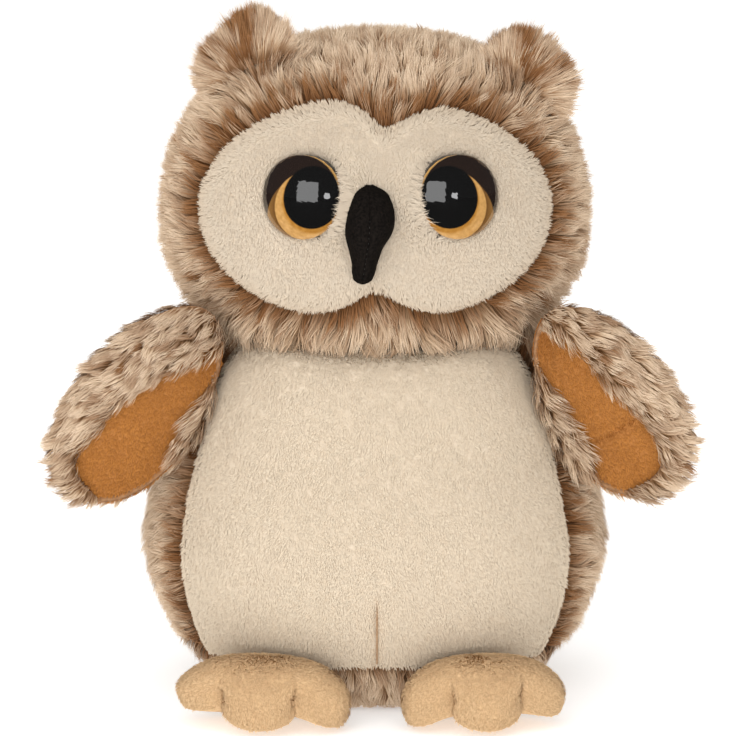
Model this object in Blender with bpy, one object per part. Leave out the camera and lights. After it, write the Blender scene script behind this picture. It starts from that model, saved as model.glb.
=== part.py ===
"""A sitting plush owl, made as its sewn panels, its fillings, its plastic eyes and its felt beak.

Metres, +Z up. The owl looks along -Y and sits on the plane Z = 0, with the middle of its base at
the origin. Every fabric panel is a curved slab whose outer face is the tips of its pile.
"""

import math

import bpy
from mathutils import Matrix, Vector

# Gaps that keep neighbouring pieces apart
SEAM_GAP = 0.0003
FIT_GAP = 0.0003

# Fabrics, backing and pile together
FUR_THICKNESS = 0.007
PLUSH_THICKNESS = 0.003
NAP_THICKNESS = 0.0018
FELT_THICKNESS = 0.0014
BASE_THICKNESS = 0.003

# Body: half-width, reach to the front and to the back, and height up to the crease of the neck
BODY_HALF_WIDTH = 0.0643
BODY_FRONT = 0.0520
BODY_BACK = 0.0480
BODY_HEIGHT = 0.0910
BODY_SQUARENESS = 2.3
# Rows from the floor up: height, half-width, depth and thickness of the pile
BODY_ROW_SHARES = (
    (0.000, 0.62, 0.66, 0.20),
    (0.055, 0.72, 0.76, 0.70),
    (0.154, 0.85, 0.87, 1.00),
    (0.253, 0.924, 0.94, 1.00),
    (0.363, 0.978, 0.985, 1.00),
    (0.473, 1.000, 1.000, 1.00),
    (0.582, 0.975, 0.980, 1.00),
    (0.703, 0.935, 0.930, 1.00),
    (0.824, 0.870, 0.850, 1.00),
    (0.923, 0.770, 0.760, 0.90),
    (0.973, 0.655, 0.670, 0.70),
    (1.000, 0.500, 0.560, 0.45),
)
BASE_SEAM_ROW = 2
# Where the belly's side seams run, from the floor up, as shares of the half-width
BELLY_SEAM_SHARES = (0.86, 0.86, 0.86, 0.85, 0.84, 0.835, 0.84, 0.84, 0.845, 0.88, 0.92, 0.94)
BELLY_COLUMNS = 12
BACK_COLUMNS = 22
DART_DEPTH = 0.0012
DART_TOP_ROW = 4
DART_HALF_ANGLE = math.radians(3.0)

# Neck: a ball of stuffing under the tucked-in tops of the body panels
NECK_RISE = 0.0010
NECK_HEIGHT = BODY_HEIGHT + NECK_RISE
NECK_RADIUS = 0.0240
NECK_CLEARANCE = 0.0005
NECK_FABRIC = 0.0020
NECK_TUCK_ANGLES = tuple(math.radians(a) for a in (2, 20, 38))
NECK_BALL_ANGLE = math.radians(62)

# Bag of pellets low in the body
PELLET_BAG_RADIUS = 0.0250
PELLET_BAG_HEIGHT = 0.0150
PELLET_BAG_SEAM_SHARE = 0.78

# Head: widest place and reaches from it
HEAD_RISE = 0.0380
HEAD_CENTRE_HEIGHT = NECK_HEIGHT + HEAD_RISE
HEAD_HALF_WIDTH = 0.0590
HEAD_UP = 0.0520
HEAD_DOWN = 0.0380
HEAD_FRONT = 0.0430
HEAD_BACK = 0.0460
HEAD_SQUARENESS = 2.3

# Face panel: two lobes about its own centre, with a notch above and below
FACE_RISE = 0.0060
FACE_HEIGHT = HEAD_CENTRE_HEIGHT + FACE_RISE
FACE_HALF_WIDTH = 0.0480
FACE_HALF_HEIGHT = 0.0310
BROW_NOTCH = 0.0085
BROW_NOTCH_ANGLE = math.radians(8)
BROW_NOTCH_WIDTH = math.radians(17)
CHIN_NOTCH = 0.0100
CHIN_NOTCH_ANGLE = math.radians(180)
CHIN_NOTCH_WIDTH = math.radians(22)
HEAD_COLUMNS = 32
FACE_RING_SHARES = (0.34, 0.68, 1.0)
COVER_ROWS = 8

# Eyes: clear dome, gold ring, black back with its shank, lock washer
EYE_X = {"left": -0.0184, "right": 0.0212}
EYE_RISE = 0.0108
EYE_HEIGHT = HEAD_CENTRE_HEIGHT + EYE_RISE
EYE_TURN = math.radians(24)
EYE_TIP = math.radians(3)
EYE_RADIUS = 0.0113
EYE_SEAT = 0.0014
EYE_BACK_THICKNESS = 0.0016
EYE_RING_THICKNESS = 0.0009
PUPIL_RADIUS = 0.0083
EYE_EDGE = 0.0010
DOME_RISE = 0.0050
SHANK_RADIUS = 0.0022
SHANK_LENGTH = 0.0125
WASHER_RADIUS = 0.0065
WASHER_THICKNESS = 0.0012
EYE_SEGMENTS = 24

# Beak: two felt halves over a filling
BEAK_X = -0.0017
BEAK_RISE = 0.0142
BEAK_TOP = HEAD_CENTRE_HEIGHT + BEAK_RISE
BEAK_LENGTH = 0.0262
BEAK_HALF_WIDTH = 0.0066
BEAK_REACH = 0.0120
# Rows from the top down: place along the length, half-width, reach and sideways hook
BEAK_ROW_SHARES = (
    (0.00, 0.14, 0.12, 0.00),
    (0.06, 0.58, 0.45, 0.02),
    (0.18, 0.88, 0.78, 0.04),
    (0.34, 1.00, 1.00, 0.04),
    (0.50, 0.95, 1.00, 0.00),
    (0.66, 0.72, 0.84, -0.08),
    (0.80, 0.52, 0.66, -0.16),
    (0.92, 0.42, 0.50, -0.22),
    (1.00, 0.18, 0.26, -0.24),
)
BEAK_WALL_SHARE = 0.4
BEAK_COLUMNS = 5

# Ears: a front and a back layer, sewn on along a curved root
EAR_HALF_WIDTH = {"left": 0.0155, "right": 0.0148}
EAR_REACH = {"left": 0.0118, "right": 0.0125}
EAR_THICKNESS = 0.0050
EAR_ROOT_THICKNESS = 0.0014
EAR_ROOT_RISE = 0.0060
EAR_CUP = 0.0030
EAR_DROOP = math.radians(12)
EAR_COLUMNS = 12
EAR_RING_SHARES = (0.2, 0.45, 0.72, 0.9, 1.0)
EAR_PLACE_ANGLE = {"left": math.radians(-38.5), "right": math.radians(46)}
EAR_FORWARD_ANGLE = math.radians(17)
EAR_SEAT = 0.0007
EAR_TIP_LEAN = {"left": math.radians(-35), "right": math.radians(38)}
EAR_TIP_SHARE = {"left": 0.26, "right": 0.10}
EAR_TIP_WIDTH = math.radians(26)

# Wings: a fur panel and a short-nap lining round a flat filling, sewn into the belly's side seams
WING_ROOT_X = {"left": 0.0437, "right": 0.0453}
WING_ROOT_FORWARD = {"left": 0.0295, "right": 0.0292}
WING_ROOT_RISE = 0.0055
WING_ROOT_HEIGHT = BODY_HEIGHT + WING_ROOT_RISE
WING_LENGTH = {"left": 0.0530, "right": 0.0488}
WING_ROOT_OVERRUN = 0.0110
WING_HALF_WIDTH = 0.0180
WING_RAISE = 0.0085
WING_EGG_SHARE = 0.12
WING_FUR_THICKNESS = 0.0050
WING_FUR_RISE = 0.0120
WING_LINING_RISE = 0.0060
WING_CREST_SHIFT = 0.0030
WING_DROP = {"left": math.radians(55), "right": math.radians(59)}
WING_TWIST = math.radians(78)
WING_COLUMNS = 26
WING_RINGS = 3

# Feet: three toes each, over a flat sole
FOOT_X = {"left": -0.0298, "right": 0.0288}
FOOT_HALF_WIDTH = {"left": 0.0238, "right": 0.0222}
FOOT_Y = -0.0523
FOOT_HALF_LENGTH = 0.0126
FOOT_HEIGHT = 0.0200
FOOT_HINGE_SHARE = 0.85
FOOT_SPLAY = {"left": math.radians(-9), "right": math.radians(6)}
SOLE_THICKNESS = 0.0018
TOE_ANGLE = math.radians(72)
TOE_NOTCH_SHARE = 0.36
TOE_NOTCH_FADE = 3
TOE_NOTCH_LIFT = 0.0044
OUTER_TOE_LIFT = {"left": 0.0042, "right": 0.0022}
FOOT_PAD_SHARE = 0.5
FOOT_WIDEST_HEIGHT = 0.0070
FOOT_WRAP_ANGLE = math.radians(115)
FOOT_COLUMNS = 40
FOOT_RINGS = 4

SIDES = {"left": -1, "right": 1}


def clear_scene():
    for thing in list(bpy.data.objects):
        bpy.data.objects.remove(thing, do_unlink=True)
    for mesh in list(bpy.data.meshes):
        bpy.data.meshes.remove(mesh)


def finish(name, colour, roughness, metallic=0.0, sheen=0.0):
    """A plain Principled material; colour is linear RGB."""
    material = bpy.data.materials.new(name)
    material.use_nodes = True
    shader = material.node_tree.nodes["Principled BSDF"]
    shader.inputs["Base Color"].default_value = (*colour, 1.0)
    shader.inputs["Roughness"].default_value = roughness
    shader.inputs["Metallic"].default_value = metallic
    shader.inputs["Sheen Weight"].default_value = sheen
    material.diffuse_color = (*colour, 1.0)
    return material


def make_finishes():
    return {
        "fur": finish("frosted_fur", (0.40, 0.27, 0.16), 0.9, sheen=0.3),
        "dark_fur": finish("dark_fur", (0.20, 0.11, 0.055), 0.9, sheen=0.3),
        "plush": finish("cream_plush", (0.79, 0.67, 0.53), 0.9, sheen=0.3),
        "caramel": finish("caramel_nap", (0.46, 0.20, 0.065), 0.85, sheen=0.3),
        "sand": finish("sand_nap", (0.62, 0.41, 0.22), 0.85, sheen=0.3),
        "felt": finish("black_felt", (0.012, 0.010, 0.009), 0.95),
        "filling": finish("white_fibre", (0.85, 0.85, 0.84), 1.0),
        "bag": finish("pellet_bag_cloth", (0.75, 0.74, 0.70), 0.9),
        "dome": finish("clear_dome", (0.06, 0.045, 0.03), 0.05),
        "gold": finish("gold_ring", (0.60, 0.32, 0.07), 0.3, metallic=0.8),
        "black": finish("black_plastic", (0.006, 0.005, 0.005), 0.15),
        "washer": finish("white_plastic", (0.80, 0.80, 0.78), 0.5),
    }


def add_object(name, points, faces, material, pivot=None):
    """A mesh object made in world places; with a pivot, it hangs from that empty."""
    mesh = bpy.data.meshes.new(name)
    mesh.from_pydata([tuple(p) for p in points], [], faces)
    mesh.validate()
    piece = bpy.data.objects.new(name, mesh)
    bpy.context.collection.objects.link(piece)
    mesh.materials.append(material)
    mesh.shade_smooth()
    mesh.set_sharp_from_angle(angle=math.radians(50))
    if pivot is not None:
        mesh.transform(pivot.matrix_world.inverted())
        piece.parent = pivot
    return piece


def add_pivot(name, place):
    """An empty on a joint's axis."""
    pivot = bpy.data.objects.new(name, None)
    pivot.location = place
    pivot.empty_display_size = SHANK_LENGTH
    bpy.context.collection.objects.link(pivot)
    bpy.context.view_layer.update()
    return pivot


def cut(piece, cutter):
    """Take a cutter's form out of a piece."""
    cutter.hide_render = True
    cutter.display_type = "WIRE"
    modifier = piece.modifiers.new("cut_" + cutter.name, "BOOLEAN")
    modifier.operation = "DIFFERENCE"
    modifier.solver = "EXACT"
    modifier.object = cutter


def boundary_loops(faces):
    """Edges that only one face uses, as a dictionary from each start to its end."""
    seen = {}
    for face in faces:
        for start, end in zip(face, face[1:] + face[:1]):
            seen[(start, end)] = True
    return {start: end for start, end in seen if (end, start) not in seen}


def draw_in_seams(points, normals, faces, gap):
    """Move an open sheet's edge inwards, along the sheet, by half a seam's gap."""
    after = boundary_loops(faces)
    before = {end: start for start, end in after.items()}
    moved = list(points)
    for corner, following in after.items():
        normal = normals[corner]
        sides = []
        for start, end in ((before[corner], corner), (corner, following)):
            along = points[end] - points[start]
            along = along - normal * along.dot(normal)
            sides.append(normal.cross(along).normalized())
        inwards = sides[0] + sides[1]
        inwards = inwards / max(inwards.length_squared / 2, 0.5)
        moved[corner] = points[corner] + inwards * (gap / 2)
    return moved


def slab(name, outer, inner, faces, material, pivot=None):
    """A closed solid between an outer and an inner sheet that have the same faces."""
    count = len(outer)
    closed = [tuple(face) for face in faces]
    closed += [tuple(count + i for i in reversed(face)) for face in faces]
    for start, end in boundary_loops(faces).items():
        closed.append((end, start, start + count, end + count))
    return add_object(name, outer + inner, closed, material, pivot)


def sewn_panel(name, points, normals, faces, depths, material, pivot=None, lift=None):
    """A closed slab under an open sheet: outer face on the sheet, inner face at each point's depth.

    The faces run anticlockwise seen from outside. lift raises the outer face, where it is given.
    """
    points = draw_in_seams(points, normals, faces, SEAM_GAP)
    lift = lift or [0.0] * len(points)
    outer = [p + n * up for p, n, up in zip(points, normals, lift)]
    inner = [p - n * depth for p, n, depth in zip(points, normals, depths)]
    return slab(name, outer, inner, faces, material, pivot)


def grid_faces(rows, columns, start=0, wrap=False):
    """Triangles of a grid stored row by row; columns go left to right from outside, rows go up.

    Every grid splits its quads the same way, so that nested sheets keep their distance.
    """
    faces = []
    span = columns if wrap else columns - 1
    for row in range(rows - 1):
        for column in range(span):
            following = (column + 1) % columns
            low = start + row * columns
            high = low + columns
            faces.append((low + column, low + following, high + following))
            faces.append((low + column, high + following, high + column))
    return faces


def superellipse(turn, squareness):
    """Unit place at an angle from -Y towards +X, squarer than a circle above 2."""
    across, ahead = math.sin(turn), math.cos(turn)
    power = 2.0 / squareness
    return (
        math.copysign(abs(across) ** power, across),
        -math.copysign(abs(ahead) ** power, ahead),
    )


def ring_point(turn, row):
    """A point of the body's outline at one row."""
    height, half_width, front, back, squareness = row[:5]
    x, y = superellipse(turn, squareness)
    depth = front if y < 0 else back
    return Vector((x * half_width, y * depth, height))


def body_rows():
    """(height, half-width, front, back, squareness, pile share) up to the top of the neck."""
    rows = [
        (
            share[0] * BODY_HEIGHT,
            share[1] * BODY_HALF_WIDTH,
            share[2] * BODY_FRONT,
            share[2] * BODY_BACK,
            BODY_SQUARENESS,
            share[3],
        )
        for share in BODY_ROW_SHARES
    ]
    for angle in NECK_TUCK_ANGLES:
        radius = NECK_RADIUS * math.cos(angle)
        height = NECK_HEIGHT + NECK_RADIUS * math.sin(angle)
        rows.append((height, radius, radius, radius, 2.0, 0.0))
    return rows


def belly_seam_turn(row_index):
    """Angle of the belly's side seam from the front at one row."""
    shares = BELLY_SEAM_SHARES
    share = shares[min(row_index, len(shares) - 1)]
    return math.asin(share ** (BODY_SQUARENESS / 2))


def belly_turns(row_index):
    """Angles of the belly's columns at one row, with a close pair beside the dart."""
    seam = belly_seam_turn(row_index)
    half = BELLY_COLUMNS // 2
    right = [DART_HALF_ANGLE + (seam - DART_HALF_ANGLE) * i / (half - 1) for i in range(half)]
    return [-turn for turn in reversed(right)] + [0.0] + right


def back_turns(row_index):
    """Angles of the back's columns at one row, from the right seam round to the left one."""
    seam = belly_seam_turn(row_index)
    sweep = 2 * (math.pi - seam)
    return [seam + sweep * i / BACK_COLUMNS for i in range(BACK_COLUMNS + 1)]


def body_point(turns_of, rows, row_index, column):
    return ring_point(turns_of(row_index)[column], rows[row_index])


def body_normal(turns_of, rows, row_index, column):
    """Outward direction, from the ring's own curve and the rows above and below."""
    turn = turns_of(row_index)[column]
    step = math.radians(2)
    along = ring_point(turn + step, rows[row_index]) - ring_point(turn - step, rows[row_index])
    below = rows[row_index - 1] if row_index else floor_row(rows[0])
    above = rows[min(row_index + 1, len(rows) - 1)]
    here = ring_point(turn, rows[row_index])
    up = (ring_point(turn, above) - here).normalized()
    up += (here - ring_point(turn, below)).normalized()
    return along.cross(up).normalized()


def floor_row(row, share=0.5):
    """A smaller ring on the flat underside."""
    return (row[0], row[1] * share, row[2] * share, row[3] * share, row[4], row[5])


def fabric_depth(row, full):
    """Thickness of a fabric at one row, thinner where it tucks into the neck."""
    return NECK_FABRIC + (full - NECK_FABRIC) * row[5]


def body_sheet(turns_of, rows, first_row):
    points, normals = [], []
    count = len(turns_of(first_row))
    for row_index in range(first_row, len(rows)):
        for column in range(count):
            points.append(body_point(turns_of, rows, row_index, column))
            normals.append(body_normal(turns_of, rows, row_index, column))
    faces = grid_faces(len(rows) - first_row, count)
    return points, normals, faces


def make_belly(rows, finishes):
    points, normals, faces = body_sheet(belly_turns, rows, BASE_SEAM_ROW)
    count = BELLY_COLUMNS + 1
    depths = [
        fabric_depth(rows[BASE_SEAM_ROW + i // count], PLUSH_THICKNESS)
        for i in range(len(points))
    ]
    lift = [0.0] * len(points)
    for row_index in range(BASE_SEAM_ROW, DART_TOP_ROW + 1):
        middle = (row_index - BASE_SEAM_ROW) * count + BELLY_COLUMNS // 2
        fade = (DART_TOP_ROW + 1 - row_index) / (DART_TOP_ROW + 1 - BASE_SEAM_ROW)
        lift[middle] = -DART_DEPTH * fade
    sewn_panel("belly_panel", points, normals, faces, depths, finishes["plush"], lift=lift)


def make_back(rows, finishes):
    points, normals, faces = body_sheet(back_turns, rows, BASE_SEAM_ROW)
    count = BACK_COLUMNS + 1
    depths = [
        fabric_depth(rows[BASE_SEAM_ROW + i // count], FUR_THICKNESS)
        for i in range(len(points))
    ]
    sewn_panel("body_back_panel", points, normals, faces, depths, finishes["fur"])


def whole_ring(row_index):
    """Angles all the way round: the belly's columns, then the back's between the seams."""
    return belly_turns(row_index) + back_turns(row_index)[1:-1]


def make_base(rows, finishes):
    count = len(whole_ring(0))
    points, normals, depths = [Vector((0, 0, 0))], [Vector((0, 0, -1))], [BASE_THICKNESS]
    for column in range(count):
        points.append(ring_point(whole_ring(0)[column], floor_row(rows[0])))
        normals.append(Vector((0, 0, -1)))
        depths.append(BASE_THICKNESS)
    for row_index in range(BASE_SEAM_ROW + 1):
        for column in range(count):
            points.append(body_point(whole_ring, rows, row_index, column))
            normals.append(body_normal(whole_ring, rows, row_index, column))
            depths.append(fabric_depth(rows[row_index], FUR_THICKNESS))
    faces = [(0, 1 + (i + 1) % count, 1 + i) for i in range(count)]
    faces += grid_faces(BASE_SEAM_ROW + 2, count, start=1, wrap=True)
    sewn_panel("base_panel", points, normals, faces, depths, finishes["dark_fur"])


def make_body_filling(rows, finishes):
    count = len(whole_ring(0))
    middle = Vector((0, 0, BASE_THICKNESS + FIT_GAP))
    points = [middle]
    belly_count = BELLY_COLUMNS + 1
    for column in range(count):
        flat = ring_point(whole_ring(0)[column], floor_row(rows[0]))
        points.append(flat + middle)
    for row_index, row in enumerate(rows):
        for column in range(count):
            inside_belly = 0 < column < belly_count - 1 and row_index > BASE_SEAM_ROW
            full = PLUSH_THICKNESS if inside_belly else FUR_THICKNESS
            depth = fabric_depth(row, full) + FIT_GAP
            if inside_belly and row_index <= DART_TOP_ROW + 1:
                depth += DART_DEPTH
            if row_index == len(BODY_ROW_SHARES) - 1:
                depth += NECK_CLEARANCE
            point = body_point(whole_ring, rows, row_index, column)
            points.append(point - body_normal(whole_ring, rows, row_index, column) * depth)
    ball = NECK_RADIUS - NECK_FABRIC - FIT_GAP
    for column in range(count):
        turn = whole_ring(len(rows) - 1)[column]
        x, y = superellipse(turn, 2.0)
        out = ball * math.cos(NECK_BALL_ANGLE)
        points.append(Vector((x * out, y * out, NECK_HEIGHT + ball * math.sin(NECK_BALL_ANGLE))))
    top = len(points)
    points.append(Vector((0, 0, NECK_HEIGHT + ball)))
    faces = [(0, 1 + (i + 1) % count, 1 + i) for i in range(count)]
    faces += grid_faces(len(rows) + 2, count, start=1, wrap=True)
    last = top - count
    faces += [(last + i, last + (i + 1) % count, top) for i in range(count)]
    filling = add_object("body_filling", points, faces, finishes["filling"])
    cut(filling, make_pellet_bag("pellet_pocket", finishes, grow=FIT_GAP))
    make_pellet_bag("pellet_bag", finishes)


def turned(name, profile, material, segments=EYE_SEGMENTS, place=None, pivot=None):
    """A closed turned form about +Z: the profile is (radius, height) from bottom to top.

    A profile that starts and ends on the axis makes a solid; any other makes a ring.
    """
    points, rings = [], []
    for radius, height in profile:
        if radius == 0:
            rings.append([len(points)])
            points.append(Vector((0, 0, height)))
            continue
        rings.append(list(range(len(points), len(points) + segments)))
        for i in range(segments):
            angle = 2 * math.pi * i / segments
            points.append(Vector((radius * math.cos(angle), radius * math.sin(angle), height)))
    solid = profile[0][0] == 0
    pairs = list(zip(rings, rings[1:] if solid else rings[1:] + rings[:1]))
    faces = []
    for low, high in pairs:
        for i in range(segments):
            j = (i + 1) % segments
            if len(low) == 1:
                faces.append((low[0], high[j], high[i]))
            elif len(high) == 1:
                faces.append((low[i], low[j], high[0]))
            else:
                faces.append((low[i], low[j], high[j], high[i]))
    if place is not None:
        points = [place @ p for p in points]
    return add_object(name, points, faces, material, pivot)


def make_pellet_bag(name, finishes, grow=0.0):
    low = BASE_THICKNESS + FIT_GAP
    seam = PELLET_BAG_RADIUS * PELLET_BAG_SEAM_SHARE
    profile = (
        (0, low - grow),
        (seam + grow, low - grow),
        (PELLET_BAG_RADIUS + grow, low + PELLET_BAG_HEIGHT * 0.4),
        (PELLET_BAG_RADIUS * 0.9 + grow, low + PELLET_BAG_HEIGHT * 0.75),
        (seam * 0.7 + grow, low + PELLET_BAG_HEIGHT + grow),
        (0, low + PELLET_BAG_HEIGHT + grow),
    )
    return turned(name, profile, finishes["bag"])


def head_reaches(direction):
    """The head form's three half-sizes on the side that a direction points to."""
    return (
        HEAD_HALF_WIDTH,
        HEAD_FRONT if direction.y < 0 else HEAD_BACK,
        HEAD_UP if direction.z > 0 else HEAD_DOWN,
    )


def head_point(direction):
    """The place on the head's outer form along a direction from its middle."""
    power = HEAD_SQUARENESS
    reaches = head_reaches(direction)
    total = sum((abs(d) / r) ** power for d, r in zip(direction, reaches))
    return Vector((0, 0, HEAD_CENTRE_HEIGHT)) + direction * total ** (-1 / power)


def head_normal(point):
    local = point - Vector((0, 0, HEAD_CENTRE_HEIGHT))
    power = HEAD_SQUARENESS - 1
    reaches = head_reaches(local)
    slope = [
        math.copysign((abs(d) / r) ** power, d) / r for d, r in zip(local, reaches)
    ]
    return Vector(slope).normalized()


def face_front(x, z):
    """The point of the head's front at a place in the front view."""
    power = HEAD_SQUARENESS
    up = z - HEAD_CENTRE_HEIGHT
    reach = HEAD_UP if up > 0 else HEAD_DOWN
    left = 1 - (abs(x) / HEAD_HALF_WIDTH) ** power - (abs(up) / reach) ** power
    return Vector((x, -HEAD_FRONT * max(left, 0.0) ** (1 / power), z))


def notch(turn, middle, width, depth):
    off = (turn - middle + math.pi) % (2 * math.pi) - math.pi
    return depth * math.exp(-((off / width) ** 2))


def face_edge(turn):
    """Distance from the face's centre to its seam, at an angle from +Z towards +X."""
    across = math.sin(turn) / FACE_HALF_WIDTH
    up = math.cos(turn) / FACE_HALF_HEIGHT
    edge = 1 / math.hypot(across, up)
    edge -= notch(turn, BROW_NOTCH_ANGLE, BROW_NOTCH_WIDTH, BROW_NOTCH)
    edge -= notch(turn, CHIN_NOTCH_ANGLE, CHIN_NOTCH_WIDTH, CHIN_NOTCH)
    return edge


def face_point(column, share):
    turn = 2 * math.pi * column / HEAD_COLUMNS
    out = face_edge(turn) * share
    return face_front(out * math.sin(turn), FACE_HEIGHT + out * math.cos(turn))


def face_sheet():
    points = [face_point(0, 0.0)]
    for share in FACE_RING_SHARES:
        points += [face_point(column, share) for column in range(HEAD_COLUMNS)]
    count = HEAD_COLUMNS
    faces = [(0, 1 + (i + 1) % count, 1 + i) for i in range(count)]
    faces += grid_faces(len(FACE_RING_SHARES), count, start=1, wrap=True)
    return points, faces


def cover_point(column, share):
    """From the face's seam at share 0 over the head to its back pole at share 1."""
    middle = Vector((0, 0, HEAD_CENTRE_HEIGHT))
    start = (face_point(column % HEAD_COLUMNS, 1.0) - middle).normalized()
    pole = Vector((0, 1, 0))
    whole = start.angle(pole)
    a = math.sin((1 - share) * whole) / math.sin(whole)
    b = math.sin(share * whole) / math.sin(whole)
    return head_point((start * a + pole * b).normalized())


def cover_sheet(first, last):
    """The head's fur between two columns, which run clockwise seen from the front."""
    columns = list(range(first, last + 1))
    points = []
    for row in range(COVER_ROWS):
        points += [cover_point(column, row / COVER_ROWS) for column in columns]
    pole = len(points)
    points.append(cover_point(0, 1.0))
    faces = grid_faces(COVER_ROWS, len(columns))
    low = pole - len(columns)
    faces += [(low + i, low + i + 1, pole) for i in range(len(columns) - 1)]
    return points, faces


def neck_ball(name, finishes):
    """The space that the neck's ball turns in."""
    radius = NECK_RADIUS + NECK_CLEARANCE
    rings = 12
    profile = [(0, NECK_HEIGHT - radius)]
    for i in range(1, rings):
        angle = math.pi * i / rings - math.pi / 2
        profile.append((radius * math.cos(angle), NECK_HEIGHT + radius * math.sin(angle)))
    profile.append((0, NECK_HEIGHT + radius))
    return turned(name, profile, finishes["filling"], segments=32)


def make_head(finishes, pivot, eye_places):
    hollow = neck_ball("neck_space", finishes)
    half = HEAD_COLUMNS // 2
    for name, first in (("head_cover_right", 0), ("head_cover_left", half)):
        points, faces = cover_sheet(first, first + half)
        normals = [head_normal(p) for p in points]
        depths = [FUR_THICKNESS] * len(points)
        cover = sewn_panel(name, points, normals, faces, depths, finishes["fur"], pivot)
        cut(cover, hollow)
    points, faces = face_sheet()
    normals = [head_normal(p) for p in points]
    depths = [PLUSH_THICKNESS] * len(points)
    face = sewn_panel("face_panel", points, normals, faces, depths, finishes["plush"], pivot)
    filling = make_head_filling(finishes, pivot)
    cut(filling, hollow)
    for side, place in eye_places.items():
        seat = eye_seat("eye_seat_" + side, place, finishes)
        cut(face, seat)
        cut(filling, seat)
        cut(filling, washer_pocket("washer_pocket_" + side, place, finishes))


def make_head_filling(finishes, pivot):
    count = HEAD_COLUMNS
    points, faces = face_sheet()
    seam = len(points) - count
    inside = []
    for i, point in enumerate(points):
        depth = FUR_THICKNESS if i >= seam else PLUSH_THICKNESS
        inside.append(point - head_normal(point) * (depth + FIT_GAP))
    start = seam
    for row in range(1, COVER_ROWS):
        for column in range(count):
            point = cover_point(column, row / COVER_ROWS)
            inside.append(point - head_normal(point) * (FUR_THICKNESS + FIT_GAP))
    pole = len(inside)
    inside.append(cover_point(0, 1.0) - Vector((0, FUR_THICKNESS + FIT_GAP, 0)))
    faces += grid_faces(COVER_ROWS, count, start=start, wrap=True)
    low = pole - count
    faces += [(low + i, low + (i + 1) % count, pole) for i in range(count)]
    return add_object("head_filling", inside, faces, finishes["filling"], pivot)


def eye_place(side):
    """The eye's own frame: origin on the face, +Z out of the face."""
    seat = face_front(EYE_X[side], EYE_HEIGHT)
    turn = Matrix.Rotation(SIDES[side] * EYE_TURN, 4, "Z")
    tip = Matrix.Rotation(math.pi / 2 - EYE_TIP, 4, "X")
    return Matrix.Translation(seat) @ turn @ tip


def eye_seat(name, place, finishes):
    radius = EYE_RADIUS + FIT_GAP
    floor = -EYE_SEAT - FIT_GAP
    profile = (
        (0, -2 * PLUSH_THICKNESS),
        (SHANK_RADIUS + FIT_GAP, -2 * PLUSH_THICKNESS),
        (SHANK_RADIUS + FIT_GAP, floor),
        (radius, floor),
        (radius, EYE_RADIUS),
        (0, EYE_RADIUS),
    )
    return turned(name, profile, finishes["plush"], place=place)


def washer_pocket(name, place, finishes):
    radius = WASHER_RADIUS + 2 * FIT_GAP
    deep = -EYE_SEAT - SHANK_LENGTH - 2 * FIT_GAP
    profile = ((0, deep), (radius, deep), (radius, EYE_RADIUS), (0, EYE_RADIUS))
    return turned(name, profile, finishes["plush"], place=place)


def washer_seat(place):
    """Height in the eye's frame at which the washer's rim lies just behind the face panel."""
    step = FIT_GAP / 3
    top = -PLUSH_THICKNESS
    rim = [2 * math.pi * i / EYE_SEGMENTS for i in range(EYE_SEGMENTS)]
    while True:
        clear = []
        for turn in rim:
            out = WASHER_RADIUS
            point = place @ Vector((out * math.cos(turn), out * math.sin(turn), top))
            front = face_front(point.x, point.z)
            clear.append((point.y - front.y) * abs(head_normal(front).y))
        if min(clear) > PLUSH_THICKNESS + FIT_GAP:
            return top
        top -= step


def make_eye(side, place, finishes, pivot):
    back = -EYE_SEAT
    plate = back + EYE_BACK_THICKNESS
    ring_low = plate + FIT_GAP
    ring_high = ring_low + EYE_RING_THICKNESS
    stem = (
        (0, back - SHANK_LENGTH),
        (SHANK_RADIUS * 0.8, back - SHANK_LENGTH),
        (SHANK_RADIUS, back - SHANK_LENGTH + SHANK_RADIUS * 0.3),
        (SHANK_RADIUS, back),
        (EYE_RADIUS - FIT_GAP, back),
        (EYE_RADIUS - FIT_GAP, plate),
        (PUPIL_RADIUS, plate),
        (PUPIL_RADIUS, ring_high),
        (0, ring_high),
    )
    turned(f"eye_{side}_stem", stem, finishes["black"], place=place, pivot=pivot)
    inner, outer = PUPIL_RADIUS + FIT_GAP, EYE_RADIUS - FIT_GAP
    ring = ((inner, ring_low), (outer, ring_low), (outer, ring_high), (inner, ring_high))
    turned(f"eye_{side}_iris_ring", ring, finishes["gold"], place=place, pivot=pivot)
    low = ring_high + FIT_GAP
    edge = low + EYE_EDGE
    ball = (EYE_RADIUS**2 + DOME_RISE**2) / (2 * DOME_RISE)
    dome = [(0, low), (EYE_RADIUS, low), (EYE_RADIUS, edge)]
    steps = 5
    for i in range(1, steps):
        angle = math.asin(EYE_RADIUS / ball) * (1 - i / steps)
        dome.append((ball * math.sin(angle), edge + DOME_RISE - ball * (1 - math.cos(angle))))
    dome.append((0, edge + DOME_RISE))
    turned(f"eye_{side}_dome", dome, finishes["dome"], place=place, pivot=pivot)
    top = washer_seat(place)
    bottom = top - WASHER_THICKNESS
    hole = SHANK_RADIUS + FIT_GAP
    washer = ((hole, bottom), (WASHER_RADIUS, bottom), (WASHER_RADIUS, top), (hole, top))
    turned(f"eye_{side}_lock_washer", washer, finishes["washer"], place=place, pivot=pivot)


def beak_wall(row):
    """Thickness of the felt at one row, thinner where the beak ends."""
    return min(FELT_THICKNESS, row[1] * BEAK_HALF_WIDTH * BEAK_WALL_SHARE)


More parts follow.
